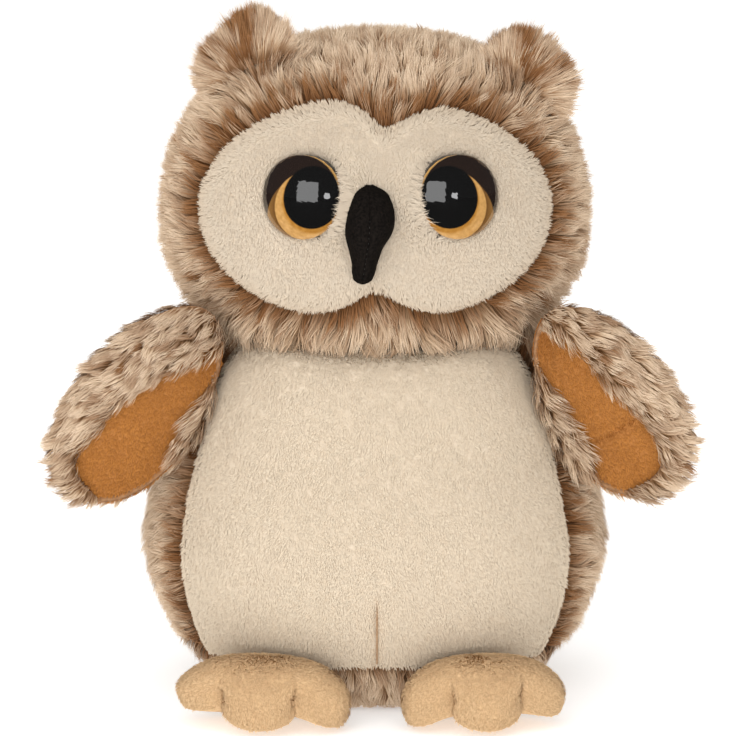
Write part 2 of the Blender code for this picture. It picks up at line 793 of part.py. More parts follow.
def beak_point(row, angle, inset):
    """A place on the beak: angle 0 is its front ridge, a right angle its side on the face."""
    along, wide, reach, hook = row
    height = BEAK_TOP - along * BEAK_LENGTH
    middle = BEAK_X + hook * BEAK_HALF_WIDTH
    x = middle + (wide * BEAK_HALF_WIDTH - inset) * math.sin(angle)
    seat = face_front(x, height).y - FIT_GAP
    return Vector((x, seat - (reach * BEAK_REACH - inset) * math.cos(angle), height))


def make_beak(finishes, pivot):
    count = BEAK_COLUMNS
    rows = list(reversed(BEAK_ROW_SHARES))
    for name, sign in (("beak_left_half", -1), ("beak_right_half", 1)):
        shift = Vector((sign * SEAM_GAP / 2, 0, 0))
        angles = [sign * math.pi / 2 * i / (count - 1) for i in range(count)]
        if sign < 0:
            angles.reverse()
        outer = [beak_point(row, angle, 0.0) + shift for row in rows for angle in angles]
        inner = [
            beak_point(row, angle, beak_wall(row)) + shift for row in rows for angle in angles
        ]
        slab(name, outer, inner, grid_faces(len(rows), count), finishes["felt"], pivot)
    turns = [math.pi * i / 6 - math.pi / 2 for i in range(7)]
    core = [row for row in rows if row[1] * BEAK_HALF_WIDTH > 2 * FELT_THICKNESS]
    points = [
        beak_point(row, turn, beak_wall(row) + FIT_GAP) for row in core for turn in turns
    ]
    faces = grid_faces(len(core), len(turns), wrap=True)
    faces.append(tuple(reversed(range(len(turns)))))
    faces.append(tuple(range(len(points) - len(turns), len(points))))
    add_object("beak_filling", points, faces, finishes["filling"], pivot)


def ear_frame(side):
    """The ear's own frame: +X along its root, +Z out of the head, -Y to the front."""
    angle = EAR_PLACE_ANGLE[side]
    ahead = math.sin(EAR_FORWARD_ANGLE)
    level = math.cos(EAR_FORWARD_ANGLE)
    out = head_point(Vector((math.sin(angle) * level, -ahead, math.cos(angle) * level)))
    normal = head_normal(out)
    upright = Vector((normal.x, 0, normal.z)).normalized()
    along = Vector((upright.z, 0, -upright.x))
    frame = Matrix.Identity(4)
    for i, axis in enumerate((along, Vector((0, 1, 0)), upright)):
        frame.col[i][:3] = axis
    frame.col[3][:3] = out + upright * EAR_SEAT
    return frame


def ear_edge(turn, side):
    """Distance from the root's middle to the ear's edge, at an angle from +X."""
    edge = 1 / math.hypot(math.cos(turn) / EAR_HALF_WIDTH[side], math.sin(turn) / EAR_REACH[side])
    off = turn - math.pi / 2 - EAR_TIP_LEAN[side]
    return edge * (1 + EAR_TIP_SHARE[side] * math.exp(-((off / EAR_TIP_WIDTH) ** 2)))


def make_ear(side, finishes, pivot, frame):
    turns = [
        -EAR_DROOP + (math.pi + 2 * EAR_DROOP) * i / EAR_COLUMNS for i in range(EAR_COLUMNS + 1)
    ]
    flat, thick = [Vector((0, 0, 0))], [EAR_ROOT_THICKNESS]
    for share in EAR_RING_SHARES:
        for turn in turns:
            out = ear_edge(turn, side) * share
            across, up = out * math.cos(turn), out * math.sin(turn)
            cup = -EAR_CUP * (across / EAR_HALF_WIDTH[side]) ** 2
            flat.append(Vector((across, cup, up)))
            swell = min(max(up + EAR_ROOT_THICKNESS, 0.0) / EAR_ROOT_RISE, 1.0)
            full = EAR_ROOT_THICKNESS + (EAR_THICKNESS - EAR_ROOT_THICKNESS) * swell
            thick.append(full * (1 - 0.55 * share**4))
    count = len(turns)
    faces = [(0, 1 + i, 2 + i) for i in range(count - 1)]
    faces += [tuple(reversed(q)) for q in grid_faces(len(EAR_RING_SHARES), count, start=1)]
    across_axis = frame.to_3x3() @ Vector((0, 1, 0))
    world = [frame @ p for p in flat]
    half = SEAM_GAP / 2
    back = [across_axis] * len(world)
    front = [-across_axis] * len(world)
    behind = [p + across_axis * half for p in world]
    ahead = [p - across_axis * half for p in world]
    none = [0.0] * len(world)
    mirrored = [tuple(reversed(face)) for face in faces]
    sewn_panel(
        f"ear_{side}_back", behind, back, mirrored, none, finishes["fur"], pivot, lift=thick
    )
    sewn_panel(
        f"ear_{side}_front", ahead, front, faces, none, finishes["dark_fur"], pivot, lift=thick
    )


def wing_frame(side):
    """The wing's own frame: +X from root to tip, +Y towards its upper edge, +Z its fur side."""
    sign = SIDES[side]
    drop = WING_DROP[side]
    along = Vector((sign * math.cos(drop), 0, -math.sin(drop)))
    up = Vector((sign * math.sin(drop), 0, math.cos(drop)))
    ahead = Vector((0, -1, 0))
    edge = ahead * math.cos(WING_TWIST) + up * math.sin(WING_TWIST)
    fur_side = up * math.cos(WING_TWIST) - ahead * math.sin(WING_TWIST)
    frame = Matrix.Identity(4)
    for i, axis in enumerate((along, edge, fur_side)):
        frame.col[i][:3] = axis
    frame.col[3][:3] = Vector((sign * WING_ROOT_X[side], -WING_ROOT_FORWARD[side], WING_ROOT_HEIGHT))
    return frame


def wing_middle(side):
    """Middle of the wing's outline in its own frame."""
    return Vector(((WING_LENGTH[side] - WING_ROOT_OVERRUN) / 2, WING_RAISE, 0))


def wing_outline(side, inset):
    """Egg-shaped outline, a little narrower at the root, drawn in by an inset."""
    half_length = (WING_LENGTH[side] + WING_ROOT_OVERRUN) / 2 - inset
    middle = wing_middle(side)
    edge = []
    for i in range(WING_COLUMNS):
        turn = 2 * math.pi * i / WING_COLUMNS
        wide = (WING_HALF_WIDTH - inset) * (1 + WING_EGG_SHARE * math.cos(turn))
        edge.append((middle.x + half_length * math.cos(turn), middle.y + wide * math.sin(turn)))
    return edge


def wing_sheet(side, inset, rise, base):
    """Points of a wing's bulging sheet, from its crest out to its edge, sharp at the edge."""
    middle = wing_middle(side)
    points = [middle + Vector((0, WING_CREST_SHIFT, base + rise))]
    for ring in range(1, WING_RINGS + 1):
        share = ring / WING_RINGS
        up = 1 - share**2
        for x, y in wing_outline(side, inset):
            place = middle.lerp(Vector((x, y, 0)), share)
            points.append(place + Vector((0, WING_CREST_SHIFT * up, base + rise * up)))
    return points


def pouch_faces(count, rings, start=0):
    faces = [(start, start + 1 + i, start + 1 + (i + 1) % count) for i in range(count)]
    for quad in grid_faces(rings, count, start=start + 1, wrap=True):
        faces.append(tuple(reversed(quad)))
    return faces


def pouch_shell(name, outer, inner, count, rings, place, material, pivot, mirrored):
    """A bowl between an outer and an inner bulging sheet, closed round its rim."""
    total = len(outer)
    faces = pouch_faces(count, rings)
    faces += [tuple(reversed(f)) for f in pouch_faces(count, rings, start=total)]
    rim = total - count
    for i in range(count):
        j = (i + 1) % count
        faces.append((rim + j, rim + i, total + rim + i, total + rim + j))
    if mirrored:
        faces = [tuple(reversed(face)) for face in faces]
    return add_object(name, [place @ p for p in outer + inner], faces, material, pivot)


def make_wing(side, finishes, pivot, frame):
    mirrored = side == "right"
    count, rings, half = WING_COLUMNS, WING_RINGS, SEAM_GAP / 2

    def panel(name, wall, rise, sign, material):
        outer = wing_sheet(side, 0.0, sign * rise, sign * half)
        inner = wing_sheet(side, wall, sign * (rise - wall), sign * half)
        flip = mirrored if sign > 0 else not mirrored
        pouch_shell(name, outer, inner, count, rings, frame, material, pivot, flip)

    panel(f"wing_{side}_fur_panel", WING_FUR_THICKNESS, WING_FUR_RISE, 1, finishes["fur"])
    panel(f"wing_{side}_lining", NAP_THICKNESS, WING_LINING_RISE, -1, finishes["caramel"])
    inset = WING_FUR_THICKNESS + FIT_GAP
    upper = wing_sheet(side, inset, WING_FUR_RISE - WING_FUR_THICKNESS - FIT_GAP, half)
    lower = wing_sheet(side, inset, NAP_THICKNESS + FIT_GAP - WING_LINING_RISE, -half)
    name = f"wing_{side}_filling"
    pouch_shell(name, upper, lower, count, rings, frame, finishes["filling"], pivot, mirrored)


def toe_notch(turn):
    """Depth share of the two notches between the three toes, at an angle from +X."""
    off = (turn + math.pi / 2 + math.pi) % (2 * math.pi) - math.pi
    if abs(off) > TOE_ANGLE:
        return 0.0
    return TOE_NOTCH_SHARE * (1 - abs(math.cos(math.pi * off / TOE_ANGLE)) ** 0.7)


def toe_lift(turn, side):
    """How far the foot's edge stands above the floor: between the toes and under the outer one."""
    outward = max(SIDES[side] * math.cos(turn), 0.0)
    return TOE_NOTCH_LIFT * toe_notch(turn) / TOE_NOTCH_SHARE + OUTER_TOE_LIFT[side] * outward**2


def foot_ring(side, inset, share, height, lift_share):
    """The foot's outline drawn in to a share of its reach, with its notches fading inwards."""
    edge = []
    for i in range(FOOT_COLUMNS):
        turn = 2 * math.pi * i / FOOT_COLUMNS
        reach = share * (1 - toe_notch(turn) * share**TOE_NOTCH_FADE)
        x = (FOOT_HALF_WIDTH[side] - inset) * math.cos(turn) * reach
        y = (FOOT_HALF_LENGTH - inset) * math.sin(turn) * reach
        edge.append(Vector((x, y, height + lift_share * toe_lift(turn, side))))
    return edge


def foot_sheet(side, inset):
    """Points of the foot's upper, from its top over its widest ring and in again to the sole."""
    points = [Vector((0, 0, FOOT_HEIGHT - inset))]
    for ring in range(1, FOOT_RINGS + 1):
        angle = FOOT_WRAP_ANGLE * ring / FOOT_RINGS
        reach = FOOT_HEIGHT - FOOT_WIDEST_HEIGHT - inset
        if angle > math.pi / 2:
            reach = (FOOT_WIDEST_HEIGHT - SOLE_THICKNESS - FIT_GAP) / -math.cos(FOOT_WRAP_ANGLE)
        up = FOOT_WIDEST_HEIGHT + reach * math.cos(angle)
        lift_share = min(angle / (math.pi / 2), 1.0) ** TOE_NOTCH_FADE
        points += foot_ring(side, inset, math.sin(angle), up, lift_share)
    return points


def make_foot(side, finishes, pivot):
    place = Matrix.Translation((FOOT_X[side], FOOT_Y, 0))
    place = place @ Matrix.Rotation(FOOT_SPLAY[side], 4, "Z")
    count, rings = FOOT_COLUMNS, FOOT_RINGS
    wall = NAP_THICKNESS
    outer, inner = foot_sheet(side, 0.0), foot_sheet(side, wall)
    name = f"foot_{side}_upper"
    pouch_shell(name, outer, inner, count, rings, place, finishes["sand"], pivot, False)
    share = math.sin(FOOT_WRAP_ANGLE)
    pad = share * FOOT_PAD_SHARE
    core = foot_sheet(side, wall + FIT_GAP)
    faces = pouch_faces(count, rings)
    low = len(core) - count
    core += foot_ring(side, wall + FIT_GAP, pad, SOLE_THICKNESS + FIT_GAP, 0.0)
    faces += [tuple(reversed(q)) for q in grid_faces(2, count, start=low, wrap=True)]
    faces.append(tuple(reversed(range(len(core) - count, len(core)))))
    points = [place @ p for p in core]
    add_object(f"foot_{side}_filling", points, faces, finishes["filling"], pivot)
    points = foot_ring(side, SOLE_THICKNESS, pad, 0.0, 0.0)
    points += foot_ring(side, SOLE_THICKNESS, share, 0.0, 1.0)
    points += foot_ring(side, 0.0, share, SOLE_THICKNESS, 1.0)
    points += foot_ring(side, 0.0, pad, SOLE_THICKNESS, 0.0)
    faces = grid_faces(4, count, wrap=True)
    faces += [tuple(reversed(range(count))), tuple(range(3 * count, 4 * count))]
    add_object(f"foot_{side}_sole", [place @ p for p in points], faces, finishes["sand"], pivot)


def main():
    clear_scene()
    finishes = make_finishes()
    rows = body_rows()
    make_base(rows, finishes)
    make_back(rows, finishes)
    make_belly(rows, finishes)
    make_body_filling(rows, finishes)
    head_pivot = add_pivot("head_pivot", (0, 0, NECK_HEIGHT))
    eye_places = {side: eye_place(side) for side in SIDES}
    make_head(finishes, head_pivot, eye_places)
    for side, place in eye_places.items():
        make_eye(side, place, finishes, head_pivot)
    make_beak(finishes, head_pivot)
    for side in SIDES:
        frame = ear_frame(side)
        pivot = add_pivot(f"ear_{side}_pivot", frame.translation)
        make_ear(side, finishes, pivot, frame)
        frame = wing_frame(side)
        pivot = add_pivot(f"wing_{side}_pivot", frame.translation)
        make_wing(side, finishes, pivot, frame)
        heel = (FOOT_X[side], FOOT_Y + FOOT_HINGE_SHARE * FOOT_HALF_LENGTH, FOOT_HEIGHT)
        pivot = add_pivot(f"foot_{side}_pivot", heel)
        make_foot(side, finishes, pivot)


main()
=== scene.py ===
"""Looks of the plush owl: combed fur, short plush, nap, painted eyes and a felt beak."""

import math

import bpy
import numpy as np
from mathutils import Matrix, Vector, kdtree


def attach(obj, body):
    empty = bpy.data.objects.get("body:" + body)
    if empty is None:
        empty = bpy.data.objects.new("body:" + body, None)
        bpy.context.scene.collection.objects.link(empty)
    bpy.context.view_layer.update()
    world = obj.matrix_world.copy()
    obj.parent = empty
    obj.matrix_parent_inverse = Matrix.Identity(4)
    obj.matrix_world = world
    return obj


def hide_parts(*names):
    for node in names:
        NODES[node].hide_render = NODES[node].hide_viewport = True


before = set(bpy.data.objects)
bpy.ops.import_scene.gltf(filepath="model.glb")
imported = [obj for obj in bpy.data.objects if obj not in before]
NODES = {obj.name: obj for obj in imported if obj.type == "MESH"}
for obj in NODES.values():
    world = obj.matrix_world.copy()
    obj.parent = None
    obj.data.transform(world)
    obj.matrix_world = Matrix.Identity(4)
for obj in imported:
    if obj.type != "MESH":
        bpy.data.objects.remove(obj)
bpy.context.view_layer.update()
SIDES = {"left": -1, "right": 1}

# Body form
BODY_HALF_WIDTH, BODY_FRONT, BODY_BACK, BODY_HEIGHT = 0.0643, 0.0520, 0.0480, 0.0910
SQUARENESS = 2.3
BODY_ROWS = np.array(
    (
        (0.000, 0.62, 0.66, 0.20),
        (0.055, 0.72, 0.76, 0.70),
        (0.154, 0.85, 0.87, 1.00),
        (0.253, 0.924, 0.94, 1.00),
        (0.363, 0.978, 0.985, 1.00),
        (0.473, 1.000, 1.000, 1.00),
        (0.582, 0.975, 0.980, 1.00),
        (0.703, 0.935, 0.930, 1.00),
        (0.824, 0.870, 0.850, 1.00),
        (0.923, 0.770, 0.760, 0.90),
        (0.973, 0.655, 0.670, 0.70),
        (1.000, 0.500, 0.560, 0.45),
    )
)
BASE_SEAM_ROW = 2
TOP_ROW = 13
BELLY_SEAM_SHARES = (0.86, 0.86, 0.86, 0.85, 0.84, 0.835, 0.84, 0.84, 0.845, 0.88, 0.92, 0.94)
NECK_HEIGHT, NECK_RADIUS = 0.0920, 0.0240
NECK_TUCK_ANGLES = np.radians((2, 20, 38))

# Head form and the face's outline on it
HEAD_HEIGHT, HEAD_HALF_WIDTH = 0.1300, 0.0590
HEAD_UP, HEAD_DOWN, HEAD_FRONT, HEAD_BACK = 0.0520, 0.0380, 0.0430, 0.0460
FACE_HEIGHT, FACE_HALF_WIDTH, FACE_HALF_HEIGHT = 0.1360, 0.0480, 0.0310
NOTCHES = ((math.radians(8), math.radians(17), 0.0085), (math.pi, math.radians(22), 0.0100))

# Eyes
EYE_X = {"left": -0.0184, "right": 0.0212}
EYE_HEIGHT, EYE_RADIUS, EYE_BED = 0.1408, 0.0113, 0.0019
EYE_TURN, EYE_TIP = math.radians(24), math.radians(3)

# Beak
BEAK_X, BEAK_TOP, BEAK_LENGTH, BEAK_HALF_WIDTH, BEAK_REACH = -0.0017, 0.1442, 0.0262, 0.0066, 0.0120
BEAK_ROWS = np.array(
    (
        (0.00, 0.14, 0.12, 0.00),
        (0.06, 0.58, 0.45, 0.02),
        (0.18, 0.88, 0.78, 0.04),
        (0.34, 1.00, 1.00, 0.04),
        (0.50, 0.95, 1.00, 0.00),
        (0.66, 0.72, 0.84, -0.08),
        (0.80, 0.52, 0.66, -0.16),
        (0.92, 0.43, 0.52, -0.22),
        (0.98, 0.30, 0.40, -0.24),
        (1.00, 0.14, 0.24, -0.24),
    )
)

# Ears
EAR_HALF_WIDTH = {"left": 0.0155, "right": 0.0148}
EAR_REACH = {"left": 0.0118, "right": 0.0125}
EAR_THICKNESS, EAR_ROOT_THICKNESS, EAR_ROOT_RISE = 0.0050, 0.0014, 0.0060
EAR_CUP, EAR_DROOP, EAR_SEAT = 0.0030, math.radians(12), 0.0007
EAR_PLACE_ANGLE = {"left": math.radians(-38.5), "right": math.radians(46)}
EAR_FORWARD_ANGLE = math.radians(17)
EAR_TIP_LEAN = {"left": math.radians(-35), "right": math.radians(38)}
EAR_TIP_SHARE = {"left": 0.26, "right": 0.10}
EAR_TIP_WIDTH = math.radians(26)
EAR_STREAKS = {"left": ((68, 1.3, 26), (133, 1.0, 12)), "right": ((138, 1.3, 13), (62, 0.6, 20))}

# Wings
WING_ROOT_X = {"left": 0.0437, "right": 0.0453}
WING_ROOT_FORWARD = {"left": 0.0295, "right": 0.0292}
WING_ROOT_HEIGHT = 0.0965
WING_LENGTH = {"left": 0.0530, "right": 0.0488}
WING_ROOT_OVERRUN, WING_HALF_WIDTH, WING_RAISE, WING_EGG_SHARE = 0.0110, 0.0180, 0.0085, 0.12
WING_FUR_RISE, WING_LINING_RISE, WING_CREST_SHIFT = 0.0120, 0.0060, 0.0030
WING_DROP = {"left": math.radians(55), "right": math.radians(59)}
WING_TWIST = math.radians(78)
WING_RING_INSET, WING_BACK_INSET = 0.0014, 0.0026
# Outline of the bare lining in millimetres along the wing and up from its line, round LINING_MIDDLE
LINING_MIDDLE = {"left": (21, 4), "right": (21, 6)}
LINING_OUTLINE = {
    "left": ((42, -10), (47, -8), (49.5, -2), (48.5, 7), (46, 13), (42, 16.2), (31, 15.5), (21, 15),
             (10, 9.5), (-2, 1.5), (-5, -2), (-2, -3), (3, -3.6), (11, -4.4), (20, -4.6), (27, -6),
             (32, -9.5)),
    "right": ((39, -9.5), (42, -4), (43.2, 1), (43.2, 7), (41.5, 12), (36.5, 15.5), (28.5, 15.8),
              (13, 12.8), (-3, 8.5), (-7, 5), (-5, 0), (0, -2.2), (8, -3.2), (18, -2.8), (27, -2.6),
              (32, -4.5), (34.5, -9)),
}
LINING_CREASE = ((26.5, 16), (27.3, -3))

# Feet
FOOT_X = {"left": -0.0298, "right": 0.0288}
FOOT_HALF_WIDTH = {"left": 0.0238, "right": 0.0222}
FOOT_Y, FOOT_HALF_LENGTH, FOOT_HEIGHT = -0.0523, 0.0126, 0.0200
FOOT_SPLAY = {"left": math.radians(-9), "right": math.radians(6)}
FOOT_WIDEST_HEIGHT, FOOT_WRAP_ANGLE = 0.0070, math.radians(115)
TOE_ANGLE, TOE_NOTCH_SHARE, TOE_NOTCH_FADE, TOE_NOTCH_LIFT = math.radians(72), 0.36, 5, 0.0044
OUTER_TOE_LIFT = {"left": 0.0042, "right": 0.0022}
SOLE_TOP, SOLE_ARCH = 0.0021, 0.0036

# Cloth and pile, from the smallest sizes that a mesh keeps apart up to the fabrics
POLE_SIZE, NO_AREA, MERGE_DISTANCE = 1e-7, 1e-16, 1e-5
CLOTH_THICKNESS = 0.0006
FLOOR_CLEARANCE = 0.0003
FUR_PILE_HEIGHT, WING_PILE_HEIGHT, EAR_PILE_HEIGHT = 0.0054, 0.0032, 0.0020
PLUSH_PILE_HEIGHT, NAP_PILE_HEIGHT = 0.0007, 0.0006
SEAM_REACH, PLUSH_SEAM_SINK, FUR_SEAM_SINK = 0.0024, 0.0024, -0.0008
PATCH_SIZE, PATCH_TONE = 0.006, 0.22

# Blades: how a blade's rise, lean, gathering and width go with the share of its length
RISE_POWER, LEAN_POWER, GATHER_POWER, TAPER_POWER = 1.7, 1.5, 1.2, 1.5
TIP_NARROWING, LEAST_WIDTH, WIDTH_SPREAD = 0.7, 0.75, 0.5
TUFT_LEAN_SPREAD, SWIRL_WAVES = 0.2, 1.2
WAVE_COUNT, WAVE_SPREAD = 5, (0.7, 1.8)
# A blade's own strip on the texture: tone across and root to tip up, inside a margin
STRIP_HALF_WIDTH, STRIP_MARGIN, STRIP_LENGTH = 0.008, 0.02, 0.96


def unit(vectors):
    return vectors / np.maximum(np.linalg.norm(vectors, axis=-1, keepdims=True), 1e-12)


def ease(share):
    share = np.clip(share, 0, 1)
    return share * share * (3 - 2 * share)


def curve_through(places, values, at):
    """Smooth curve through a table's values."""
    places, values, at = (np.asarray(a, float) for a in (places, values, at))
    slopes = np.gradient(values, places)
    i = np.clip(np.searchsorted(places, at, side="right") - 1, 0, len(places) - 2)
    span = places[i + 1] - places[i]
    t = (at - places[i]) / span
    start, end = values[i], values[i + 1]
    bend = (1 - t) * slopes[i] * span - t * slopes[i + 1] * span + (1 - 2 * t) * (start - end)
    return start + (end - start) * t + t * (1 - t) * bend


def sheet(points, centre):
    """A grid of points with outward normals; a row of one place is a pole."""
    normals = np.cross(np.gradient(points, axis=1), np.gradient(points, axis=0))
    size = np.linalg.norm(normals, axis=-1)
    for row, beside in ((0, 1), (-1, -2)):
        if np.ptp(points[row], axis=0).max() < POLE_SIZE:
            normals[row] = unit(normals[beside]).mean(axis=0)
    normals[size < NO_AREA] = normals[len(normals) // 2].mean(axis=0)
    normals = unit(normals)
    if np.sum(normals * unit(points - centre)) < 0:
        normals = -normals
    return {"points": points, "normals": normals}


def grid_quads(rows, columns):
    low = (np.arange(rows - 1)[:, None] * columns + np.arange(columns - 1)[None, :]).ravel()
    return np.stack((low, low + 1, low + columns + 1, low + columns), axis=1)


def grid_triangles(rows, columns):
    quads = grid_quads(rows, columns)
    return np.concatenate((quads[:, (0, 1, 2)], quads[:, (0, 2, 3)]))


def mesh_object(name, points, faces, material):
    """A mesh object from arrays of points and of triangles or quads."""
    mesh = bpy.data.meshes.new(name)
    mesh.vertices.add(len(points))
    mesh.vertices.foreach_set("co", np.ascontiguousarray(points, np.float32).ravel())
    mesh.loops.add(faces.size)
    mesh.loops.foreach_set("vertex_index", faces.astype(np.int32).ravel())
    mesh.polygons.add(len(faces))
    starts = np.arange(len(faces), dtype=np.int32) * faces.shape[1]
    mesh.polygons.foreach_set("loop_start", starts)
    mesh.update(calc_edges=True)
    mesh.polygons.foreach_set("use_smooth", np.ones(len(faces), bool))
    mesh.materials.append(material)
    piece = bpy.data.objects.new(name, mesh)
    bpy.context.scene.collection.objects.link(piece)
    return piece


def only(piece):
    bpy.ops.object.select_all(action="DESELECT")
    piece.select_set(True)
    bpy.context.view_layer.objects.active = piece


def cloth(name, skin, material, body, stands_for, keep=None):
    """A closed piece of fabric under a sheet, with poles and meeting edges merged."""
    quads = grid_quads(*skin["points"].shape[:2])
    points = skin["points"].reshape(-1, 3)
    if keep is not None:
        quads = quads[keep(points)[quads].all(axis=1)]
    corners = points[quads]
    facing = np.cross(corners[:, 2] - corners[:, 0], corners[:, 3] - corners[:, 1])
    if np.sum(facing * skin["normals"].reshape(-1, 3)[quads[:, 0]]) < 0:
        quads = quads[:, ::-1]
    piece = mesh_object(name, points, quads, material)
    only(piece)
    bpy.ops.object.mode_set(mode="EDIT")
    bpy.ops.mesh.select_all(action="SELECT")
    bpy.ops.mesh.remove_doubles(threshold=MERGE_DISTANCE)
    bpy.ops.mesh.delete_loose()
    bpy.ops.object.mode_set(mode="OBJECT")
    thick = piece.modifiers.new("thickness", "SOLIDIFY")
    thick.thickness = CLOTH_THICKNESS
    thick.offset = -1
    bpy.ops.object.modifier_apply(modifier=thick.name)
    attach(piece, body)
    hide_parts(*stands_for)
    return piece


def scatter(skin, density, rng, keep=None):
    """Random places on a sheet, with its normals and fields there."""
    rows, columns = skin["points"].shape[:2]
    triangles = grid_triangles(rows, columns)
    points = skin["points"].reshape(-1, 3)
    a, b, c = (points[triangles[:, i]] for i in range(3))
    areas = np.linalg.norm(np.cross(b - a, c - a), axis=1) / 2
    count = int(areas.sum() * density)
    picked = triangles[rng.choice(len(triangles), count, p=areas / areas.sum())]
    u, v = np.sqrt(rng.random(count)), rng.random(count)
    weights = np.stack((1 - u, u * (1 - v), u * v), axis=1)
    found = {}
    for key, values in skin.items():
        flat = values.reshape(rows * columns, -1)
        found[key] = np.einsum("nk,nkd->nd", weights, flat[picked])
    if keep is not None:
        kept = keep(found["points"])
        found = {key: values[kept] for key, values in found.items()}
    found["normals"] = unit(found["normals"])
    return found


def nearest_of(points, centres):
    tree = kdtree.KDTree(len(centres))
    for i, centre in enumerate(centres):
        tree.insert(centre, i)
    tree.balance()
    return np.array([tree.find(point)[1] for point in points])


def grow(name, skin, coat, seed, material, body, keep=None):
    """Pile all over a sheet. Its fields are comb, height and tone: 0 is the light tint, 1 the dark.

    A lean field, where there is one, multiplies the coat's own lean.
    """
    rng = np.random.default_rng(seed)
    return blades(name, scatter(skin, coat["density"], rng, keep), coat, rng, material, body)


def waves(points, rng, size=0.012):
    """Slow random variation over the object, about -1 to 1."""
    total = np.zeros(len(points))
    for _ in range(WAVE_COUNT):
        direction = unit(rng.normal(size=3)) * 2 * math.pi / (size * rng.uniform(*WAVE_SPREAD))
        total += np.sin(points @ direction + rng.uniform(0, 2 * math.pi))
    return total / (WAVE_COUNT / 2)


def blades(name, at, coat, rng, material, body):
    """Tapered blades that rise from their roots, lean along the comb and gather in tufts."""
    count = len(at["points"])
    root, normal = at["points"], at["normals"]
    comb = at["comb"] - normal * np.sum(at["comb"] * normal, axis=1, keepdims=True)
    comb = unit(comb)
    aside = np.cross(normal, comb)
    tufts = rng.choice(count, max(int(count / coat["tuft"]), 1), replace=False)
    tuft = nearest_of(root, root[tufts])
    turn = rng.normal(0, coat["swirl"], len(tufts))[tuft] + rng.normal(0, coat["swirl"] / 2, count)
    turn = turn + coat["swirl"] * SWIRL_WAVES * waves(root, rng)
    comb = comb * np.cos(turn)[:, None] + aside * np.sin(turn)[:, None]
    aside = np.cross(normal, comb)
    height = at["height"][:, 0]
    rise = height * (1 + rng.normal(0, coat["uneven"], count))
    lean = coat["lean"] * height * (1 + rng.normal(0, coat["uneven"], count))
    lean = lean * (1 + rng.normal(0, TUFT_LEAN_SPREAD, len(tufts))[tuft])
    if "lean" in at:
        lean = lean * at["lean"][:, 0]
    steps = coat["steps"]
    share = np.linspace(0, 1, steps + 1)[None, :, None]
    line = root[:, None] + normal[:, None] * rise[:, None, None] * (1 - (1 - share) ** RISE_POWER)
    line = line + comb[:, None] * lean[:, None, None] * share**LEAN_POWER
    gathered = line[tufts][tuft]
    line = line + (gathered - line) * coat["pull"] * share**GATHER_POWER
    line = line + rng.normal(0, coat["frizz"], (count, 1, 3)) * share**LEAN_POWER
    line[..., 2] = np.maximum(line[..., 2], FLOOR_CLEARANCE)
    twist = rng.normal(0, coat["twist"], count)[:, None]
    side = aside * np.cos(twist) + normal * np.sin(twist)
    own = unit(np.cross(side, line[:, -1] - line[:, 0]))
    outward = np.sign(np.sum(own * normal, axis=1, keepdims=True))
    side, own = side * outward, own * outward
    wide = LEAST_WIDTH + WIDTH_SPREAD * rng.random((count, 1))
    half = (side * coat["width"] / 2 * wide)[:, None]
    taper = 1 - TIP_NARROWING * share[:, :-1] ** TAPER_POWER
    left, right = line[:, :-1] - half * taper, line[:, :-1] + half * taper
    points = np.concatenate((left, right, line[:, -1:]), axis=1)
    each = 2 * steps + 1
    faces = []
    for i in range(steps - 1):
        faces += [(i, steps + i, steps + i + 1), (i, steps + i + 1, i + 1)]
    faces.append((steps - 1, 2 * steps - 1, 2 * steps))
    faces = (np.array(faces)[None] + np.arange(count)[:, None, None] * each).reshape(-1, 3)
    piece = mesh_object(name, points.reshape(-1, 3), faces, material)
    shading = unit(own * (1 - coat["soften"]) + normal * coat["soften"])
    shading = np.repeat(shading, each, axis=0)
    piece.data.normals_split_custom_set_from_vertices(shading.tolist())
    tone = at["tone"][:, 0] + rng.normal(0, coat["mottle"], len(tufts))[tuft]
    tone = np.clip(tone + rng.normal(0, coat["mottle"] / 3, count), 0, 1)
    half_strip = np.full(steps, STRIP_HALF_WIDTH)
    across = np.concatenate((-half_strip, half_strip, (0.0,)))
    along = np.concatenate((share[0, :-1, 0], share[0, :-1, 0], (1.0,)))
    flat = np.empty((count, each, 2), np.float32)
    flat[..., 0] = (tone * STRIP_LENGTH + STRIP_MARGIN)[:, None] + across
    flat[..., 1] = along * STRIP_LENGTH + STRIP_MARGIN
    layer = piece.data.uv_layers.new(name="OFBake")
    layer.data.foreach_set("uv", flat.reshape(-1, 2)[faces.ravel()].ravel())
    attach(piece, body)
    return piece


# Materials

PILE_ROUGHNESS, PILE_GLOSS, CLOTH_GLOSS = 0.8, 0.08, 0.2
WEAVE_DETAIL, WEAVE_STOPS, BUMP_DISTANCE = 6, (0.35, 0.65), 0.0003


def new_material(name, roughness, sheen=0.0, gloss=CLOTH_GLOSS):
    material = bpy.data.materials.new(name)
    material.use_nodes = True
    tree = material.node_tree
    shader = tree.nodes["Principled BSDF"]
    shader.inputs["Roughness"].default_value = roughness
    shader.inputs["Sheen Weight"].default_value = sheen
    shader.inputs["Specular IOR Level"].default_value = gloss
    return material, tree, shader


def add_node(tree, kind, sockets=(), **settings):
    """A node with its settings, and with values or other nodes' outputs at its inputs."""
    node = tree.nodes.new("ShaderNode" + kind)
    for name, value in settings.items():
        setattr(node, name, value)
    for name, value in dict(sockets).items():
        if isinstance(value, bpy.types.NodeSocket):
            tree.links.new(value, node.inputs[name])
        else:
            node.inputs[name].default_value = value
    return node


def ramp(tree, stops, factor):
    node = add_node(tree, "ValToRGB", {"Fac": factor})
    while len(node.color_ramp.elements) < len(stops):
        node.color_ramp.elements.new(0.5)
    for element, (place, colour) in zip(node.color_ramp.elements, stops):
        element.position = place
        element.color = (*colour, 1)
    return node.outputs["Color"]


